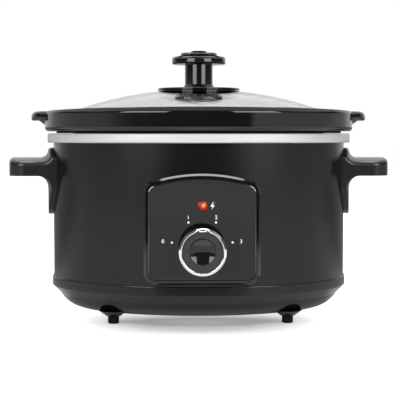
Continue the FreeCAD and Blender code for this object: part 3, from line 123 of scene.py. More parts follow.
def bump(tree, height, strength, distance, **settings):
    inputs = {"Height": height, "Strength": strength, "Distance": distance}
    feed(tree, Normal=add_node(tree, "ShaderNodeBump", inputs, **settings).outputs["Normal"])


print("helpers:", noise.__name__, blend_colours.__name__, spread.__name__, bump.__name__)

# %% [markdown]
# ## Satin paint on the housing
# The housing is rolled steel, sprayed black and baked. Sprayed paint dries with a faint orange peel,
# dimples about a millimetre wide, and its gloss changes a little from place to place. A large noise gives
# the change of colour and gloss, and a small one the peel, as a bump. Many finishes are made like this,
# so both steps are functions.

# %% Housing paint
def mottled_finish(name, scale, dark, light, smooth, coarse, detail=2.0, **values):
    """A finish whose colour and roughness follow one noise."""
    finish, tree = start_finish(name, **values)
    mottle = noise(tree, object_place(tree), scale, detail)
    colour = blend_colours(tree, mottle, dark, light)
    feed(tree, Base_Color=colour, Roughness=spread(tree, mottle, smooth, coarse))
    return finish


def add_grain(finish, scale, relief, depth, detail=2.0):
    """Roughens a finish with a fine bump: relief is its strength, and depth its height in metres."""
    tree = finish.node_tree
    bump(tree, noise(tree, object_place(tree), scale, detail), relief, depth)


paint = mottled_finish(
    "housing_paint", scale=9.0, dark=(0.0034, 0.0034, 0.0036), light=(0.0044, 0.0044, 0.0046),
    smooth=0.19, coarse=0.23, Specular_IOR_Level=0.37,
)
add_grain(paint, scale=850.0, relief=0.05, depth=0.0003)
print("finish:", paint.name)

# %% [markdown]
# ## Satin mouldings
# The handles are moulded in black plastic, in a mould etched with a fine grain that hides fingerprints.
# The grain is far smaller than the peel of the paint, so its noise runs three times as fine, with more
# detail, and the surface is a little rougher.

# %% Etched moulding
moulding = mottled_finish(
    "etched_moulding", scale=14.0, dark=(0.0055, 0.0055, 0.0058), light=(0.0070, 0.0070, 0.0073),
    smooth=0.22, coarse=0.27, Specular_IOR_Level=0.45,
)
add_grain(moulding, scale=2600.0, relief=0.08, depth=0.0002, detail=4.0)
print("finish:", moulding.name)

# %% [markdown]
# ## The base's creased band
# The base is moulded too, but its band has a faint crease halfway up: above it the band leans back by a
# few degrees and mirrors the dark room, and below it leans forward and mirrors the floor. The solid's
# band is upright. A height that falls away on both sides of the crease, fed to a bump, turns the normals
# by the angle whose tangent is the bump's distance. The place of the crease is measured from the box
# round the solid.

# %% Creased band
CREASE_DROP = 0.0085
CREASE_LEAN = math.radians(3.5)


def box_of(name):
    """The low and the high corner of the box round a solid, in metres."""
    corners = nodes[name].bound_box
    return Vector(corners[0]), Vector(corners[6])


def height_of_point(tree):
    return add_node(tree, "ShaderNodeSeparateXYZ", {"Vector": object_place(tree)}).outputs["Z"]


def combine(tree, operation, first, second=0.0):
    return add_node(tree, "ShaderNodeMath", {0: first, 1: second}, operation=operation).outputs["Value"]


def distance_from(tree, value, middle):
    return combine(tree, "ABSOLUTE", combine(tree, "SUBTRACT", value, middle))


band = mottled_finish(
    "creased_band", scale=14.0, dark=(0.0045, 0.0045, 0.0048), light=(0.0060, 0.0060, 0.0063),
    smooth=0.15, coarse=0.19, Specular_IOR_Level=0.45,
)
crease_height = box_of("base_pan")[1].z - CREASE_DROP
from_crease = distance_from(band.node_tree, height_of_point(band.node_tree), crease_height)
bump(band.node_tree, from_crease, strength=1.0, distance=math.tan(CREASE_LEAN), invert=True)
print("finish:", band.name, "with its crease", round(crease_height, 4), "metres up")

# %% [markdown]
# ## The panel's face
# The face of the panel is a smooth grey-black plate that leans forward in its frame by a few degrees, so
# it mirrors the pale floor in front of the cooker, and the dial in it as a dark crescent. The solid is
# upright. A height that grows with Z, fed to a bump, turns the normal by the same angle without moving
# the plate.

# %% Leaning panel face
FACE_LEAN = math.radians(4.0)

face = mottled_finish(
    "leaning_face", scale=60.0, dark=(0.0020, 0.0020, 0.0021), light=(0.0028, 0.0028, 0.0029),
    smooth=0.08, coarse=0.12, detail=3.0, Specular_IOR_Level=0.43,
)
bump(face.node_tree, height_of_point(face.node_tree), strength=1.0, distance=math.tan(FACE_LEAN))
print("finish:", face.name)

# %% [markdown]
# ## The dial's grip
# The dial is moulded with a dull face that scatters light, so it looks a little paler than the panel
# behind it. An etched grain makes it, over a greyer black and with a rougher surface. Colour, roughness
# and bump follow the same grain here.

# %% Dull dial
DIAL_GRAIN = 1500.0
DIAL_DETAIL = 3.0

dial_face = mottled_finish(
    "dull_dial", scale=DIAL_GRAIN, dark=(0.018, 0.018, 0.0185), light=(0.022, 0.022, 0.0225),
    smooth=0.36, coarse=0.44, detail=DIAL_DETAIL, Specular_IOR_Level=0.5,
)
add_grain(dial_face, scale=DIAL_GRAIN, relief=0.08, depth=0.0002, detail=DIAL_DETAIL)
print("finish:", dial_face.name)

# %% [markdown]
# ## Polished mouldings
# The panel's frame, the base of the lid's knob and the hollow in the dial come from polished moulds. They
# are near black and mirror the lamps. A perfect mirror looks false, so a slow noise bends the surface a
# trifle, as the shrinking of plastic does, and faint smudges change the gloss. The fine edges of the
# panel catch more light, so they have a stronger mirror.

# %% Polished moulding
SMUDGE_SCALE = 70.0
SMUDGE_DETAIL = 3.0
POLISH_DARK = (0.0035, 0.0035, 0.0038)
POLISH_LIGHT = (0.005, 0.005, 0.0054)
POLISH_SPECULAR = 0.5
EDGE_SPECULAR = 1.0


def polished_moulding(name, specular):
    finish = mottled_finish(
        name, scale=SMUDGE_SCALE, dark=POLISH_DARK, light=POLISH_LIGHT,
        smooth=0.05, coarse=0.10, detail=SMUDGE_DETAIL, Specular_IOR_Level=specular,
    )
    add_grain(finish, scale=45.0, relief=0.02, depth=0.0006)
    return finish


polished = polished_moulding("polished_moulding", POLISH_SPECULAR)
bright_edge = polished_moulding("bright_edge", EDGE_SPECULAR)
print("finishes:", polished.name, bright_edge.name)

# %% [markdown]
# ## The barrel of the lid's knob
# The side of the knob's cap is a shallow barrel: its upper half leans back, so only the lower half
# mirrors the tall lamps. The solid's side is upright, and a bump turns the normals above the middle in
# the same way as on the base. It acts only near the two upright sides, the cap's and that of the tier on
# it, which the distance from the knob's axis tells. The rest of the top, which hands rub, is dull and
# mirrors nothing.

# %% Knob barrel
BARREL_DROP = 0.0084
BARREL_LEAN = math.radians(25.0)
TIER_RADIUS = 0.0180
SIDE_FADE = (0.0005, 0.0002)
TOP_ROUGHNESS = (0.55, 0.65)
SIDE_ROUGHNESS = 0.07

knob_top = box_of("lid_knob")[1].z
cap_radius = box_of("lid_knob")[1].x
barrel_middle = knob_top - BARREL_DROP


def smooth_step(tree, value, start, end):
    inputs = {"Value": value, "From Min": start, "From Max": end}
    step = add_node(tree, "ShaderNodeMapRange", inputs, interpolation_type="SMOOTHSTEP")
    return step.outputs["Result"]


def product(tree, first, *others):
    for other in others:
        first = combine(tree, "MULTIPLY", first, other)
    return first


def oval_share(tree, place, radii, centre_y=0.0):
    """How far a point lies from an oval's upright axis, as a share of the oval's radii along X and Y."""
    along_x, along_y = radii
    inputs = {
        "Vector": place,
        "Location": (0.0, -centre_y / along_y, 0.0),
        "Scale": (1.0 / along_x, 1.0 / along_y, 0.0),
    }
    mapped = add_node(tree, "ShaderNodeMapping", inputs).outputs["Vector"]
    return add_node(tree, "ShaderNodeVectorMath", {0: mapped}, operation="LENGTH").outputs["Value"]


def knob_barrel():
    finish, tree = start_finish("knob_barrel")
    place = object_place(tree)
    height = height_of_point(tree)
    radius = oval_share(tree, place, radii=(1.0, 1.0))  # radii of a metre: the share is in metres
    on_cap = smooth_step(tree, distance_from(tree, radius, cap_radius), *SIDE_FADE)
    on_tier = smooth_step(tree, distance_from(tree, radius, TIER_RADIUS), *SIDE_FADE)
    sides = combine(tree, "MAXIMUM", on_cap, on_tier)
    upper_half = combine(tree, "MAXIMUM", height, barrel_middle)
    bump(tree, upper_half, strength=sides, distance=math.tan(BARREL_LEAN), invert=True)
    above = combine(tree, "GREATER_THAN", height, barrel_middle)
    top = product(tree, above, combine(tree, "SUBTRACT", 1.0, sides))
    smudges = noise(tree, place, SMUDGE_SCALE, SMUDGE_DETAIL)
    rubbed = product(tree, top, spread(tree, smudges, *TOP_ROUGHNESS))
    mirror = product(tree, combine(tree, "SUBTRACT", 1.0, top), POLISH_SPECULAR)
    feed(
        tree, Base_Color=blend_colours(tree, smudges, POLISH_DARK, POLISH_LIGHT),
        Roughness=combine(tree, "MAXIMUM", rubbed, SIDE_ROUGHNESS), Specular_IOR_Level=mirror,
    )
    return finish


barrel = knob_barrel()
print("finish:", barrel.name, "leaning above", round(barrel_middle, 4), "metres")

# %% [markdown]
# ## Glaze on the crock
# The crock is stoneware under a thick black glaze. Glaze flows as it melts, so it is mirror-smooth with
# long soft waves. The foot is wiped clean before firing, or the pot would weld itself to the kiln shelf,
# and there the bare clay shows. The seat under the collar, which rubs on the rim of the liner, is dull
# too. The height of a point tells them apart, and so does its share of the oval for the seat.

# %% Black glaze and bare clay
WIPE_HEIGHT = 0.0027
WIPE_FADE = 0.0004
WIPE_WANDER = 0.0012
SEAT_BELOW_RIM = 0.0005
SEAT_ABOVE_RIM = 0.0026
SEAT_LOW_FADE = 0.0006
SEAT_HIGH_FADE = 0.0003
SEAT_OVAL = (0.139, 0.109)
SEAT_EDGE = (0.95, 0.97)
GLAZE_ROUGHNESS = (0.05, 0.09)
DULL_ROUGHNESS = 0.85

wipe_line = box_of("crock")[0].z + WIPE_HEIGHT
rim_top = box_of("heating_liner")[1].z


def crock_seat(tree, place, height):
    """One on the dull seat under the collar, and zero elsewhere."""
    low = rim_top - SEAT_BELOW_RIM
    high = rim_top + SEAT_ABOVE_RIM
    above = smooth_step(tree, height, low, low + SEAT_LOW_FADE)
    below = smooth_step(tree, height, high, high - SEAT_HIGH_FADE)
    outside = smooth_step(tree, oval_share(tree, place, SEAT_OVAL), *SEAT_EDGE)
    return product(tree, above, below, outside)


def black_glaze():
    finish, tree = start_finish("black_glaze", Specular_IOR_Level=0.55)
    place = object_place(tree)
    height = height_of_point(tree)
    wander = product(tree, noise(tree, place, scale=120.0), WIPE_WANDER)
    ragged = combine(tree, "ADD", wander, height)
    glazed = spread(tree, ragged, 0.0, 1.0, span=(wipe_line, wipe_line + WIPE_FADE))
    waves = noise(tree, place, scale=30.0)
    glaze_colour = blend_colours(tree, waves, (0.0020, 0.0020, 0.0021), (0.0031, 0.0030, 0.0029))
    specks = noise(tree, place, scale=900.0, detail=4.0)
    clay_colour = blend_colours(tree, specks, (0.33, 0.26, 0.19), (0.47, 0.39, 0.30))
    colour_a, colour_b, colour_out = 6, 7, 2
    mixed = {"Factor": glazed, colour_a: clay_colour, colour_b: glaze_colour}
    colour = add_node(tree, "ShaderNodeMix", mixed, data_type="RGBA").outputs[colour_out]
    dull = combine(tree, "MAXIMUM", crock_seat(tree, place, height), combine(tree, "SUBTRACT", 1.0, glazed))
    gloss = spread(tree, noise(tree, place, scale=55.0), *GLAZE_ROUGHNESS)
    feed(tree, Base_Color=colour, Roughness=spread(tree, dull, gloss, DULL_ROUGHNESS, FULL_SPAN))
    bump(tree, noise(tree, place, scale=38.0), strength=0.025, distance=0.001)
    return finish


glaze = black_glaze()
print("finish:", glaze.name, "wiped below", round(wipe_line, 4), "metres")

# %% [markdown]
# ## Spun aluminium
# The heating liner and its rolled rim are spun on a lathe, which leaves fine rings. Rings in the surface
# stretch its highlights across them, so the rim looks evenly pale all along. A noise squeezed in height
# gives the rings, and a rather high roughness the soft pale look.

# %% Spun aluminium
RING_SQUEEZE = (14.0, 14.0, 2400.0)


def spun_aluminium():
    finish, tree = start_finish("spun_aluminium", Metallic=0.55)
    squeezed = add_node(tree, "ShaderNodeMapping", {"Vector": object_place(tree), "Scale": RING_SQUEEZE})
    rings = noise(tree, squeezed.outputs["Vector"], scale=1.0, detail=3.0)
    colour = blend_colours(tree, rings, (0.53, 0.53, 0.535), (0.60, 0.60, 0.605))
    feed(tree, Base_Color=colour, Roughness=spread(tree, rings, 0.55, 0.65))
    bump(tree, rings, strength=0.06, distance=0.0002)
    return finish


aluminium = spun_aluminium()
print("finish:", aluminium.name)

# %% [markdown]
# ## Tempered glass
# The lid is clear pressed glass, four millimetres thick. A glass shader could do, but the Principled one
# with full transmission exports better. Its faint grey takes a little light at each pass, and a very slow
# noise gives the soft waves of pressed glass. The disc under it that holds the knob looks pale through
# the glass. It is as clear, but with a low index it bends light so little that it stays pale.

# %% Pressed glass and clear disc
GLASS_INDEX = 1.5
DISC_INDEX = 1.03


def clear_finish(name, index):
    finish, tree = start_finish(name, Transmission_Weight=1.0, IOR=index)
    place = object_place(tree)
    waves = noise(tree, place, scale=26.0)
    colour = blend_colours(tree, waves, (0.902, 0.907, 0.907), (0.910, 0.915, 0.915))
    feed(tree, Base_Color=colour, Roughness=spread(tree, noise(tree, place, scale=60.0), 0.012, 0.02))
    bump(tree, waves, strength=0.0003, distance=0.0008)
    return finish


glass = clear_finish("pressed_glass", GLASS_INDEX)
disc = clear_finish("clear_disc", DISC_INDEX)
print("finishes:", glass.name, disc.name)

# %% [markdown]
# ## Chrome, zinc and heater steel
# Three metals differ mostly in colour and roughness. The ring of the dial is bright chrome. Screws,
# washers and straps are zinc-plated, with a faint spangle. The heater's band has been hot, so its steel
# is dull and tinted in patches. One function makes all three, with a grain four times as fine as the
# patches.

# %% Three metals
def worked_metal(name, scale, relief, **look):
    finish = mottled_finish(name, scale, detail=3.0, Metallic=1.0, **look)
    add_grain(finish, 4.0 * scale, relief, depth=0.0001)
    return finish


chrome = worked_metal(
    "bright_chrome", scale=160.0, relief=0.01,
    dark=(0.90, 0.90, 0.91), light=(0.95, 0.95, 0.955), smooth=0.04, coarse=0.08,
)
zinc = worked_metal(
    "zinc_plate", scale=420.0, relief=0.06,
    dark=(0.56, 0.56, 0.54), light=(0.68, 0.68, 0.66), smooth=0.24, coarse=0.38,
)
heater_steel = worked_metal(
    "heater_steel", scale=60.0, relief=0.08,
    dark=(0.36, 0.33, 0.28), light=(0.52, 0.50, 0.47), smooth=0.40, coarse=0.58,
)
print("finishes:", chrome.name, zinc.name, heater_steel.name)

# %% [markdown]
# ## Rubber, silicone and nylon
# The soft and pale pieces hide under and inside the cooker: rubber feet, the silicone seal below the
# glass and the nylon terminal block. They are matt, so colour and bump carry them, and both follow the
# same mottle.

# %% Soft and pale finishes
def soft_finish(name, scale, relief, **look):
    finish = mottled_finish(name, scale, detail=4.0, **look)
    add_grain(finish, scale, relief, depth=0.0004, detail=4.0)
    return finish


rubber = soft_finish(
    "foot_rubber", scale=700.0, relief=0.2, dark=(0.004, 0.004, 0.004), light=(0.006, 0.006, 0.006),
    smooth=0.70, coarse=0.85, Specular_IOR_Level=0.15,
)
silicone = soft_finish(
    "seal_silicone", scale=300.0, relief=0.05, dark=(0.62, 0.63, 0.63), light=(0.72, 0.73, 0.73),
    smooth=0.35, coarse=0.50, Transmission_Weight=0.35,
)
nylon = soft_finish(
    "natural_nylon", scale=400.0, relief=0.06, dark=(0.70, 0.68, 0.61), light=(0.78, 0.76, 0.70),
    smooth=0.42, coarse=0.55,
)
print("finishes:", rubber.name, silicone.name, nylon.name)

# %% [markdown]
# ## The blanket's weave
# A blanket of glass fibre keeps the heat of the band inside. Its threads run both ways, so two crossed
# waves, multiplied, give the weave, and colour, roughness and bump follow it.

# %% Woven fibre
THREAD_SCALE = 160.0
THREAD_WANDER = 1.5


def woven_fibre():
    finish, tree = start_finish("woven_fibre", Sheen_Weight=0.2)
    inputs = {"Vector": object_place(tree), "Scale": THREAD_SCALE, "Distortion": THREAD_WANDER}
    threads = [
        add_node(tree, "ShaderNodeTexWave", inputs, bands_direction=way).outputs["Fac"] for way in ("X", "Z")
    ]
    weave = product(tree, *threads)
    colour = blend_colours(tree, weave, (0.60, 0.58, 0.53), (0.80, 0.79, 0.75), FULL_SPAN)
    feed(tree, Base_Color=colour, Roughness=spread(tree, weave, 0.85, 0.97, FULL_SPAN))
    bump(tree, weave, strength=0.4, distance=0.0006)
    return finish


fibre = woven_fibre()
print("finish:", fibre.name)

# %% [markdown]
# ## The lit lamp
# A small bulb glows behind the red lens. Its light is warmest over the bulb and turns to deep red at the
# rim. The lens could hold a real lamp, but a glow painted by distance from the bulb costs nothing to
# render: the distance of a point from the bulb drives a colour ramp into the emission.

# %% Glowing red lens
BULB_FROM_LENS = Vector((0.0009, -0.0015, 0.0005))
GLOW_RADIUS = 0.0052
GLOW_STOPS = (
    (0.00, (1.0, 0.72, 0.26)),
    (0.26, (1.0, 0.34, 0.03)),
    (0.46, (0.50, 0.014, 0.006)),
    (0.75, (0.16, 0.003, 0.002)),
    (1.00, (0.03, 0.001, 0.001)),
)

panel_face = box_of("control_fascia")[0].y
lens_middle = sum(box_of("lamp_lens"), Vector()) / 2
lamp_spot = Vector((lens_middle.x, panel_face, lens_middle.z))


def glow_ramp(tree, distance):
    share = spread(tree, distance, 0.0, 1.0, span=(0.0, GLOW_RADIUS))
    ramp = add_node(tree, "ShaderNodeValToRGB", {"Fac": share})
    elements = ramp.color_ramp.elements
    while len(elements) < len(GLOW_STOPS):
        elements.new(0.5)
    for element, (spot, colour) in zip(elements, GLOW_STOPS):
        element.position = spot
        element.color = (*colour, 1.0)
    return ramp.outputs["Color"]


def glowing_lens():
    finish, tree = start_finish("glowing_lens", Emission_Strength=1.0, Specular_IOR_Level=0.3)
    place = object_place(tree)
    ends = {0: place, 1: lamp_spot + BULB_FROM_LENS}
    from_bulb = add_node(tree, "ShaderNodeVectorMath", ends, operation="DISTANCE").outputs["Value"]
    tint = noise(tree, place, scale=500.0)
    feed(
        tree, Emission_Color=glow_ramp(tree, from_bulb),
        Base_Color=blend_colours(tree, tint, (0.05, 0.002, 0.002), (0.07, 0.003, 0.003)),
        Roughness=spread(tree, noise(tree, place, scale=300.0), 0.24, 0.32),
    )
    return finish


lens = glowing_lens()
print("finish:", lens.name, "round", [round(v, 4) for v in lamp_spot])

# %% [markdown]
# ## Each solid gets its finish
# The record names a material slot for every solid, so one table from slot to finish dresses most of them,
# and a second one names the five solids with a finish of their own. Assigning to the object's material
# slot leaves the CAD mesh itself untouched.

# %% Dress the solids
finish_of_slot = {
    "painted_steel": paint,
    "satin_black": moulding,
    "gloss_black": polished,
    "black_glaze": glaze,
    "liner_aluminium": aluminium,
    "clear_glass": glass,
    "bright_chrome": chrome,
    "zinc_steel": zinc,
    "heater_steel": heater_steel,
    "black_rubber": rubber,
    "clear_silicone": silicone,
    "pale_nylon": nylon,
    "fibre": fibre,
    "red_lens": lens,
}
finish_of_solid = {
    "control_fascia": face,
    "control_knob": dial_face,
    "base_pan": band,
    "lid_knob": barrel,
    "lid_retainer": disc,
}
for part in frame["record"]["subparts"]:
    finish = finish_of_solid.get(part["node"], finish_of_slot[part["material_slot"]])
    nodes[part["node"]].material_slots[0].material = finish

# %% [markdown]
# ## White print
# The marks on the panel are pad-printed in white ink, a film a few hundredths of a millimetre thick. Ink
# lies a little unevenly, so its white is mottled and it is not quite matt. Every new piece is modelled as
# a bmesh, a mesh in the making, and one function turns it into an object that rides on a body of the
# cooker.

# %% Printing ink
INK_FILM = 0.00004

ink = soft_finish(
    "white_ink", scale=900.0, relief=0.03, dark=(0.80, 0.80, 0.79), light=(0.88, 0.88, 0.87),
    smooth=0.45, coarse=0.60,
)


def finish_piece(name, shape, finish, body):
    """Turns a bmesh into an object of the scene that rides on a body."""
    mesh = bpy.data.meshes.new(name)
    shape.to_mesh(mesh)
    shape.free()
    piece = bpy.data.objects.new(name, mesh)
    bpy.context.scene.collection.objects.link(piece)
    mesh.materials.append(finish)
    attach(piece, body)
    print(name, len(mesh.polygons), "faces on", body)


print("finish:", ink.name)

# %% [markdown]
# ## Dots round the dial
# Four dots mark the places where the switch clicks, the first and the last at the limits of the dial's
# joint. Each starts as a circle, is filled, and is raised by the thickness of the ink. A disc of many
# sides is enough at this size; a bevel would be thinner than the ink.

# %% Four dots
DOT_RING = 0.0280
DOT_RADIUS = 0.00095
DOT_SIDES = 28
MIDDLE_CLICK = 26.0
FACING_FRONT = Matrix.Rotation(math.radians(90.0), 4, "X")
INK_RISE = Vector((0.0, -INK_FILM, 0.0))

dial_joint = next(joint for joint in frame["joints"] if joint["name"] == "dial_turn")
dial_axis = Vector(dial_joint["pos_m"])
first_click, last_click = dial_joint["range_deg"]


def raise_faces(shape, rise):
    """Gives a sheet its thickness: its faces are extruded and moved."""
    raised = bmesh.ops.extrude_face_region(shape, geom=shape.faces[:])
    corners = [v for v in raised["geom"] if isinstance(v, bmesh.types.BMVert)]
    bmesh.ops.translate(shape, verts=corners, vec=rise)
    bmesh.ops.recalc_face_normals(shape, faces=shape.faces[:])


def panel_dots():
    shape = bmesh.new()
    for degrees in (first_click, -MIDDLE_CLICK, MIDDLE_CLICK, last_click):
        angle = math.radians(degrees)
        spot = dial_axis + DOT_RING * Vector((math.sin(angle), 0.0, math.cos(angle)))
        place = Matrix.Translation(spot) @ FACING_FRONT
        bmesh.ops.create_circle(shape, cap_ends=True, segments=DOT_SIDES, radius=DOT_RADIUS, matrix=place)
    raise_faces(shape, INK_RISE)
    finish_piece("panel_dots", shape, ink, "cooker")


panel_dots()

# %% [markdown]
# ## Plain numerals beside the dots
# Each place of the switch gets a plain number. Blender's own font draws it as a text object, which
# becomes a mesh before it is turned to face the front, so that the finished piece sits at the origin like
# the solids.

# %% Numerals
NUMERAL_SIZE = 0.0050
NUMERAL_CURVE_STEPS = 6
NUMERAL_SPOTS = (
    ("0", -0.0350, 0.0082),
    ("1", -0.0125, 0.0296),
    ("2", 0.0125, 0.0296),
    ("3", 0.0347, 0.0080),
)
MERGE_DISTANCE = 1e-7


def text_mesh(words):
    curve = bpy.data.curves.new("numeral_text", "FONT")
    curve.body = words
    curve.size = NUMERAL_SIZE
    curve.align_x = "CENTER"
    curve.align_y = "CENTER"
    curve.extrude = INK_FILM / 2
    curve.resolution_u = NUMERAL_CURVE_STEPS
    holder = bpy.data.objects.new("numeral_text", curve)
    bpy.context.scene.collection.objects.link(holder)
    bpy.context.view_layer.update()
    mesh = bpy.data.meshes.new_from_object(holder.evaluated_get(bpy.context.evaluated_depsgraph_get()))
    bpy.data.objects.remove(holder)
    bpy.data.curves.remove(curve)
    return mesh


def panel_numerals():
    shape = bmesh.new()
    for words, x, z in NUMERAL_SPOTS:
        mesh = text_mesh(words)
        spot = dial_axis + Vector((x, -INK_FILM / 2, z))
        mesh.transform(Matrix.Translation(spot) @ FACING_FRONT)
        shape.from_mesh(mesh)
        bpy.data.meshes.remove(mesh)
    bmesh.ops.remove_doubles(shape, verts=shape.verts[:], dist=MERGE_DISTANCE)
    bmesh.ops.recalc_face_normals(shape, faces=shape.faces[:])
    finish_piece("panel_numerals", shape, ink, "cooker")


panel_numerals()

# %% [markdown]
# ## The flash beside the lamp
# A little lightning flash says what the lamp shows: the power is on. It is a zigzag of seven corners,
# given in millimetres, so it starts from those vertices, becomes one face, and is raised like the dots.

# %% Power flash
MILLIMETRE = 0.001
FLASH_SPOT = lamp_spot + Vector((0.0092, 0.0, -0.0001))
FLASH_CORNERS = ((0.5, 3.3), (-1.9, -0.4), (-0.2, -0.4), (-0.9, -3.3), (1.9, 0.7), (0.2, 0.7), (1.5, 3.3))


def power_flash():
    shape = bmesh.new()
    shape.faces.new(
        [shape.verts.new(FLASH_SPOT + MILLIMETRE * Vector((x, 0.0, z))) for x, z in FLASH_CORNERS]
    )
    bmesh.ops.triangulate(shape, faces=shape.faces[:])
    raise_faces(shape, INK_RISE)
    finish_piece("power_flash", shape, ink, "cooker")


power_flash()

# %% [markdown]
# ## The pointer's mark
# The dial's pointer is a low bar in the notch of the chrome ring, and its top is filled with white paint.
# The mark is a slim bar with rounded corners. It rides on the dial, so it turns with it.

# %% Pointer mark
MARK_SIZE = Vector((0.0066, INK_FILM, 0.0008))
MARK_FROM_AXIS = 0.0184
MARK_CORNER = 0.00035
MARK_CORNER_STEPS = 5


def pointer_mark():
    shape = bmesh.new()
    pointer_front = box_of("control_knob")[0].y
    spot = Vector((dial_axis.x, pointer_front - INK_FILM / 2, dial_axis.z + MARK_FROM_AXIS))
    place = Matrix.Translation(spot) @ Matrix.Diagonal((*MARK_SIZE, 1.0))
    bmesh.ops.create_cube(shape, size=1.0, matrix=place)
    short_edges = [e for e in shape.edges if abs(e.verts[0].co.y - e.verts[1].co.y) > INK_FILM / 2]
    bmesh.ops.bevel(
        shape, geom=short_edges, offset=MARK_CORNER, affect="EDGES", segments=MARK_CORNER_STEPS, profile=0.5,
        material=-1,
    )
    finish_piece("pointer_mark", shape, ink, "dial")


pointer_mark()

# %% [markdown]
# ## The lip of the panel's frame
# A slim lip runs along the arched top of the frame and mirrors the lamp overhead as a bright line. Its
# section is a triangle, with each corner given by how far it lies behind the frame's front and above the
# arch. The section is drawn once at the top, turned to the left end of the arch and carried along it: a
# spin turns it about the arch's centre. The same carrying makes the next piece, so it is a function of
# its own.

# %% Frame lip
PANEL_CORNER = 0.0112
ARCH_RADIUS = 0.151
LIP_SECTION = ((-0.00003, -0.0019), (0.00135, 0.00001), (0.0031, 0.00001))
LIP_STEPS = 60

panel_low, panel_high = box_of("control_bezel")
arch_centre = Vector((0.0, 0.0, panel_high.z - ARCH_RADIUS))
corner_x = panel_high.x - PANEL_CORNER
arch_half_angle = math.asin(corner_x / (ARCH_RADIUS - PANEL_CORNER))


def start_section(shape, corners):
    """Draws the section that will be carried, and gives its vertices, edges and face."""
    vertices = [shape.verts.new(corner) for corner in corners]
    section = shape.faces.new(vertices)
    return vertices + section.edges[:] + [section]


def carry(shape, section, centre, angle, steps, move=(0.0, 0.0, 0.0)):
    """Extrudes a section round a centre in the panel's plane, or along a move, and gives its last copy."""
    carried = bmesh.ops.spin(
        shape, geom=section, cent=centre, axis=(0.0, 1.0, 0.0), angle=angle, dvec=move, steps=steps,
        use_merge=False, use_duplicate=False,
    )
    return carried["geom_last"]


def frame_lip():
    shape = bmesh.new()
    corners = [(0.0, panel_low.y + back, panel_high.z + rise) for back, rise in LIP_SECTION]
    section = start_section(shape, corners)
    to_left_end = Matrix.Rotation(-arch_half_angle, 4, "Y")
    bmesh.ops.rotate(shape, verts=shape.verts[:], cent=arch_centre, matrix=to_left_end)
    carry(shape, section, arch_centre, 2 * arch_half_angle, LIP_STEPS)
    bmesh.ops.recalc_face_normals(shape, faces=shape.faces[:])
    finish_piece("frame_lip", shape, bright_edge, "cooker")


frame_lip()

# %% [markdown]
# ## The rim of the panel's face
# The face's edge falls away at the sides and the top, and at the two upper corners that slope mirrors the
# tall lamps. Each corner of its section is given by how far it lies inside the panel's side and behind
# the face. The section is carried up the left side, round the corner, along the arch, round the other
# corner and down the right side.

# %% Face rim
RIM_SECTION = ((0.00410, -0.00130), (0.00510, -0.00172), (0.00530, 0.00002), (0.00410, 0.00002))
RIM_CORNER_STEPS = 24
RIM_ARCH_STEPS = 48


def face_rim():
    shape = bmesh.new()
    low = panel_low.z + PANEL_CORNER
    high = arch_centre.z + (ARCH_RADIUS - PANEL_CORNER) * math.cos(arch_half_angle)
    corner_turn = math.pi / 2 - arch_half_angle
    upwards = (0.0, 0.0, high - low)
    downwards = (0.0, 0.0, low - high)
    corners = [(panel_low.x + inset, panel_face + back, low) for inset, back in RIM_SECTION]
    section = start_section(shape, corners)
    section = carry(shape, section, arch_centre, 0.0, 1, upwards)
    section = carry(shape, section, (-corner_x, 0.0, high), corner_turn, RIM_CORNER_STEPS)
    section = carry(shape, section, arch_centre, 2 * arch_half_angle, RIM_ARCH_STEPS)
    section = carry(shape, section, (corner_x, 0.0, high), corner_turn, RIM_CORNER_STEPS)
    carry(shape, section, arch_centre, 0.0, 1, downwards)
    bmesh.ops.recalc_face_normals(shape, faces=shape.faces[:])
    finish_piece("face_rim", shape, bright_edge, "cooker")


face_rim()

# %% [markdown]
# ## The seam of the housing
# A housing rolled from one sheet has to be joined somewhere, and makers put the joint at the back. Here
# the edges overlap in a narrow welded strip. A grid is bent to the oval by moving its vertices out to it,
# and is then raised by the step of the overlap, so the strip lies on the wall all along.

# %% Back seam
SEAM_X = 0.052
SEAM_WIDTH = 0.009
SEAM_LOW = 0.0398
SEAM_HIGH = 0.1672
SEAM_STEP = 0.0004
SEAM_COLUMNS = 6
SEAM_ROWS = 40
WALL_GAP = 0.00002

wall = box_of("housing_wall")[1]


def back_of_wall(x, out):
    return (wall.y + out) * math.sqrt(1.0 - (x / (wall.x + out)) ** 2)


def wall_seam():
    shape = bmesh.new()
    bmesh.ops.create_grid(shape, x_segments=SEAM_COLUMNS, y_segments=SEAM_ROWS, size=0.5)
    bmesh.ops.scale(shape, verts=shape.verts[:], vec=(SEAM_WIDTH, SEAM_HIGH - SEAM_LOW, 1.0))
    middle = (SEAM_LOW + SEAM_HIGH) / 2
    for vert in shape.verts:
        x = SEAM_X + vert.co.x
        vert.co = (x, back_of_wall(x, WALL_GAP), middle + vert.co.y)
    raise_faces(shape, (0.0, SEAM_STEP, 0.0))
    finish_piece("wall_seam", shape, paint, "cooker")


wall_seam()

# %% [markdown]
# ## The studio: what the floor shows
# The cooker stands on a white sweep. Lamps alone would leave it grey, so it gives a little light of its
# own, and a Light Path node says to whom. The camera, and rays through the glass, see it white up to an
# oval under the cooker, where the glow is held back so the real shadow shows; a weaker glow paints the
# middle of that shade paler. Mirrors see it pale in front of the panel and far away.

# %% Light that the floor adds
SHADE_CENTRE = -0.085
SHADE_RADII = (0.10, 0.055)
SHADE_EDGE = (0.3, 1.9)
SHADE_LIFT = (0.05, 0.95)
MIDDLE_CENTRE = -0.061
MIDDLE_RADII = (0.062, 0.025)
MIDDLE_EDGE = (1.1, 0.2)
MIDDLE_PAINTED_GLOW = 0.26
NEAR_CENTRE = -0.215
NEAR_RADII = (0.12, 0.10)
NEAR_EDGE = (1.0, 0.4)
NEAR_LIFT = 0.9
FAR_EDGE = (0.5, 1.3)
FAR_LIFT = 0.45


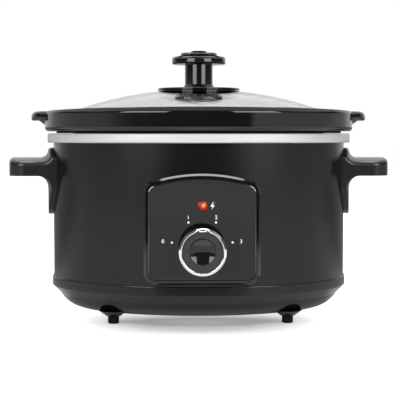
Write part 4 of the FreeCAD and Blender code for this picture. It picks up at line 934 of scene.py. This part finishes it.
def seen_lift(tree, place):
    """The light that the camera sees in the floor."""
    # The glow stops at an oval under the cooker, so the shadow shows only inside it: the outline of the
    # shade is painted.
    from_shade = oval_share(tree, place, SHADE_RADII, SHADE_CENTRE)
    around = spread(tree, smooth_step(tree, from_shade, *SHADE_EDGE), *SHADE_LIFT, FULL_SPAN)
    # Painted light: a weaker glow in a smaller oval makes the middle of the shade paler.
    from_middle = oval_share(tree, place, MIDDLE_RADII, MIDDLE_CENTRE)
    middle = product(tree, smooth_step(tree, from_middle, *MIDDLE_EDGE), MIDDLE_PAINTED_GLOW)
    return combine(tree, "ADD", around, middle)


def mirrored_lift(tree, place):
    """The light that mirror-like surfaces see in the floor."""
    # A pale patch of glow in front of the panel, seen by mirror rays alone.
    from_near = oval_share(tree, place, NEAR_RADII, NEAR_CENTRE)
    near = product(tree, smooth_step(tree, from_near, *NEAR_EDGE), NEAR_LIFT)
    away = add_node(tree, "ShaderNodeVectorMath", {0: place}, operation="LENGTH").outputs["Value"]
    return combine(tree, "MAXIMUM", near, spread(tree, away, 0.0, FAR_LIFT, FAR_EDGE))


print("the floor adds up to", SHADE_LIFT[1], "for the camera and", NEAR_LIFT, "for mirrors")

# %% [markdown]
# ## The studio: what the floor hides
# Parts of the floor have to look dark in mirrors: the gap between the two tall lamps, seen straight ahead
# from the cooker, and much of the floor behind it. There a near-black shader veils the floor, for mirror
# rays alone, and elsewhere it does so very faintly.

# %% Veil over the floor
AHEAD_SLOPE = (0.56, 0.46)
AHEAD_START = (-0.90, -1.00)
REAR_START = (0.10, 0.40)
REAR_VEIL = 0.72
LEAST_VEIL = 0.06
VEIL_COLOUR = (0.02, 0.02, 0.02, 1.0)


def floor_veil(tree, place):
    """How much of the floor a mirror sees as dark."""
    spot = add_node(tree, "ShaderNodeSeparateXYZ", {"Vector": place}).outputs
    slope = combine(tree, "ABSOLUTE", combine(tree, "DIVIDE", spot["X"], spot["Y"]))
    straight_ahead = smooth_step(tree, slope, *AHEAD_SLOPE)
    ahead = product(tree, straight_ahead, smooth_step(tree, spot["Y"], *AHEAD_START))
    rear = product(tree, smooth_step(tree, spot["Y"], *REAR_START), REAR_VEIL)
    return combine(tree, "MAXIMUM", combine(tree, "MAXIMUM", ahead, rear), LEAST_VEIL)


print("the veil hides at least", LEAST_VEIL, "of the floor from mirrors, and", REAR_VEIL, "at the rear")

# %% [markdown]
# ## The studio: floor
# The floor itself is a wide disc. It lies a hair below the feet, so that the two don't share a plane.

# %% Floor
FLOOR_RADIUS = 4.5
FLOOR_SIDES = 96
FLOOR_DROP = 0.0002
WHITE = (1.0, 1.0, 1.0, 1.0)


def white_sweep():
    finish, tree = start_finish("white_sweep", Roughness=0.9, Specular_IOR_Level=0.1, Emission_Color=WHITE)
    place = object_place(tree)
    path = add_node(tree, "ShaderNodeLightPath").outputs
    mirrored = path["Is Glossy Ray"]
    seen = combine(tree, "MAXIMUM", path["Is Camera Ray"], path["Is Transmission Ray"])
    to_camera = product(tree, seen, seen_lift(tree, place))
    to_mirrors = product(tree, mirrored, mirrored_lift(tree, place))
    paper = noise(tree, place, scale=3.0)
    feed(
        tree, Base_Color=blend_colours(tree, paper, (0.78, 0.78, 0.78), (0.80, 0.80, 0.80)),
        Emission_Strength=combine(tree, "MAXIMUM", to_camera, to_mirrors),
    )
    veil = product(tree, mirrored, floor_veil(tree, place))
    dark = add_node(tree, "ShaderNodeBsdfDiffuse", {"Color": VEIL_COLOUR}).outputs["BSDF"]
    layers = {0: veil, 1: tree.nodes[SHADER].outputs["BSDF"], 2: dark}
    veiled = add_node(tree, "ShaderNodeMixShader", layers).outputs["Shader"]
    tree.links.new(veiled, tree.nodes["Material Output"].inputs["Surface"])
    return finish


def studio_floor():
    shape = bmesh.new()
    bmesh.ops.create_circle(shape, cap_ends=True, segments=FLOOR_SIDES, radius=FLOOR_RADIUS)
    mesh = bpy.data.meshes.new("studio_floor")
    shape.to_mesh(mesh)
    shape.free()
    mesh.materials.append(white_sweep())
    floor = bpy.data.objects.new("studio_floor", mesh)
    bpy.context.scene.collection.objects.link(floor)
    floor.location.z = -FLOOR_DROP
    print("floor", 2 * FLOOR_RADIUS, "metres across")


studio_floor()

# %% [markdown]
# ## The studio: lamps
# Two tall softboxes stand left and right of the camera. Their reflections are the pale stripes on the
# stem of the knob and the bright lines on the collar, so their place and size were read from those. A
# third box hangs above and behind and lights the top. A narrow strip overhead, in front, draws the bright
# line along the top of the panel's frame. A lamp's brightness is given as radiance, which doesn't change
# with its size.

# %% Softboxes
TALL_BOX = (0.75, 1.10)
TALL_RADIANCE = 6.0
TALL_DISTANCE = 1.35
TALL_HEIGHT = 0.815
LEFT_AZIMUTH = -35.5
RIGHT_AZIMUTH = 37.0


def softbox(name, place, aim, size, radiance):
    lamp = bpy.data.lights.new(name, "AREA")
    lamp.shape = "RECTANGLE"
    lamp.size, lamp.size_y = size
    lamp.energy = radiance * math.pi * lamp.size * lamp.size_y
    holder = bpy.data.objects.new(name, lamp)
    bpy.context.scene.collection.objects.link(holder)
    holder.location = place
    holder.rotation_euler = (Vector(aim) - Vector(place)).to_track_quat("-Z", "Y").to_euler()
    holder.visible_camera = False
    holder.visible_transmission = False
    print(name, round(lamp.energy, 1), "W")


def tall_softbox(name, azimuth):
    angle = math.radians(azimuth)
    place = (TALL_DISTANCE * math.sin(angle), -TALL_DISTANCE * math.cos(angle), TALL_HEIGHT)
    softbox(name, place, (0.0, 0.0, TALL_HEIGHT), TALL_BOX, TALL_RADIANCE)


tall_softbox("left_softbox", LEFT_AZIMUTH)
tall_softbox("right_softbox", RIGHT_AZIMUTH)
softbox("top_softbox", place=(0.0, 0.55, 1.35), aim=(0.0, 0.0, 0.15), size=(1.0, 0.5), radiance=8.0)
softbox(
    "overhead_strip", place=(0.045, -0.659, 1.64), aim=(0.0, -0.118, 0.14), size=(0.97, 0.13), radiance=5.0,
)

# %% [markdown]
# ## The studio: the room in the mirrors
# White paper hangs behind the cooker, and in front the room is dark. Mirror-like surfaces see the room by
# direction: white behind, a pale strip of wall low on the left and on the right, a pale ceiling that ends
# before the front, and dark elsewhere. A part of the room fades in over a span of the direction's X, Y or
# Z, and the values named light say how bright it is.

# %% Mirrored room
PAPER_BEHIND = (0.35, 0.75)
SIDE_SPLIT = 0.05
LEFT_WALL = (-0.82, -0.40)
LEFT_LIGHT = 0.70
RIGHT_WALL = (-0.87, -0.82)
RIGHT_LIGHT = (0.90, 0.64)
RIGHT_FADE = (-0.60, 0.10)
WALL_TOP = (0.05, 0.02)
CEILING_RISE = (0.42, 0.62)
CEILING_FRONT = (-0.32, -0.18)
CEILING_LIGHT = 0.95
ROOM_LIGHT = (0.10, 0.95)


def mirrored_room(tree):
    """The brightness that a mirror sees in each direction."""
    direction = add_node(tree, "ShaderNodeTexCoord").outputs["Generated"]
    way = add_node(tree, "ShaderNodeSeparateXYZ", {"Vector": direction}).outputs
    behind = smooth_step(tree, way["Y"], *PAPER_BEHIND)
    on_left = smooth_step(tree, way["X"], SIDE_SPLIT, -SIDE_SPLIT)
    left = product(tree, smooth_step(tree, way["Y"], *LEFT_WALL), on_left, LEFT_LIGHT)
    on_right = smooth_step(tree, way["X"], -SIDE_SPLIT, SIDE_SPLIT)
    right_light = spread(tree, way["Y"], *RIGHT_LIGHT, RIGHT_FADE)
    right = product(tree, smooth_step(tree, way["Y"], *RIGHT_WALL), on_right, right_light)
    walls = product(tree, combine(tree, "MAXIMUM", left, right), smooth_step(tree, way["Z"], *WALL_TOP))
    room = spread(tree, combine(tree, "MAXIMUM", behind, walls), *ROOM_LIGHT, FULL_SPAN)
    overhead = smooth_step(tree, way["Z"], *CEILING_RISE)
    ceiling = product(tree, overhead, smooth_step(tree, way["Y"], *CEILING_FRONT), CEILING_LIGHT)
    return combine(tree, "MAXIMUM", room, ceiling)


print("the mirrored room lies between", *ROOM_LIGHT)

# %% [markdown]
# ## The studio: surroundings
# The world takes one of three backgrounds, again by the kind of ray. The camera, and light that comes
# through the glass, see plain white. Mirror rays see the room. Everything else gets a soft even fill.

# %% World
FILL_LIGHT = 0.30
PLAIN_LIGHT = 1.0


def background(tree, strength):
    inputs = {"Color": WHITE, "Strength": strength}
    return add_node(tree, "ShaderNodeBackground", inputs).outputs["Background"]


def studio_world():
    world = bpy.data.worlds.new("studio")
    bpy.context.scene.world = world
    world.use_nodes = True
    tree = world.node_tree
    tree.nodes.clear()
    path = add_node(tree, "ShaderNodeLightPath").outputs
    fill = background(tree, FILL_LIGHT)
    room = background(tree, mirrored_room(tree))
    lit = {0: path["Is Glossy Ray"], 1: fill, 2: room}
    unseen = add_node(tree, "ShaderNodeMixShader", lit).outputs["Shader"]
    seen = combine(tree, "MAXIMUM", path["Is Camera Ray"], path["Is Transmission Ray"])
    layers = {0: seen, 1: unseen, 2: background(tree, PLAIN_LIGHT)}
    surface = add_node(tree, "ShaderNodeMixShader", layers).outputs["Shader"]
    add_node(tree, "ShaderNodeOutputWorld", {"Surface": surface})
    print("world:", world.name)


studio_world()

# %% [markdown]
# ## The camera
# The photograph was taken from just above the rim of the housing, a little to the left, with a long lens.
# The distance follows from how much rounder the low ovals look than the high ones. Standard colours keep
# the white of the paper white.

# %% Camera
CAMERA_DISTANCE = 1.220
CAMERA_TURN = math.radians(1.5)
CAMERA_HEIGHT = 0.1774
CAMERA_AIM = Vector((0.0012, 0.0, 0.1116))
SENSOR_WIDTH = 36.0
FOCAL_LENGTH = 111.7
NEAREST = 0.05


def studio_camera():
    optics = bpy.data.cameras.new("camera")
    optics.sensor_width = SENSOR_WIDTH
    optics.lens = FOCAL_LENGTH
    optics.clip_start = NEAREST
    camera = bpy.data.objects.new("camera", optics)
    bpy.context.scene.collection.objects.link(camera)
    aside = -CAMERA_DISTANCE * math.sin(CAMERA_TURN)
    ahead = -CAMERA_DISTANCE * math.cos(CAMERA_TURN)
    spot = Vector((aside, ahead, CAMERA_HEIGHT))
    camera.location = spot
    camera.rotation_euler = (CAMERA_AIM - spot).to_track_quat("-Z", "Y").to_euler()
    bpy.context.scene.camera = camera
    print("camera at", [round(v, 4) for v in spot])


studio_camera()
bpy.context.scene.view_settings.view_transform = "Standard"
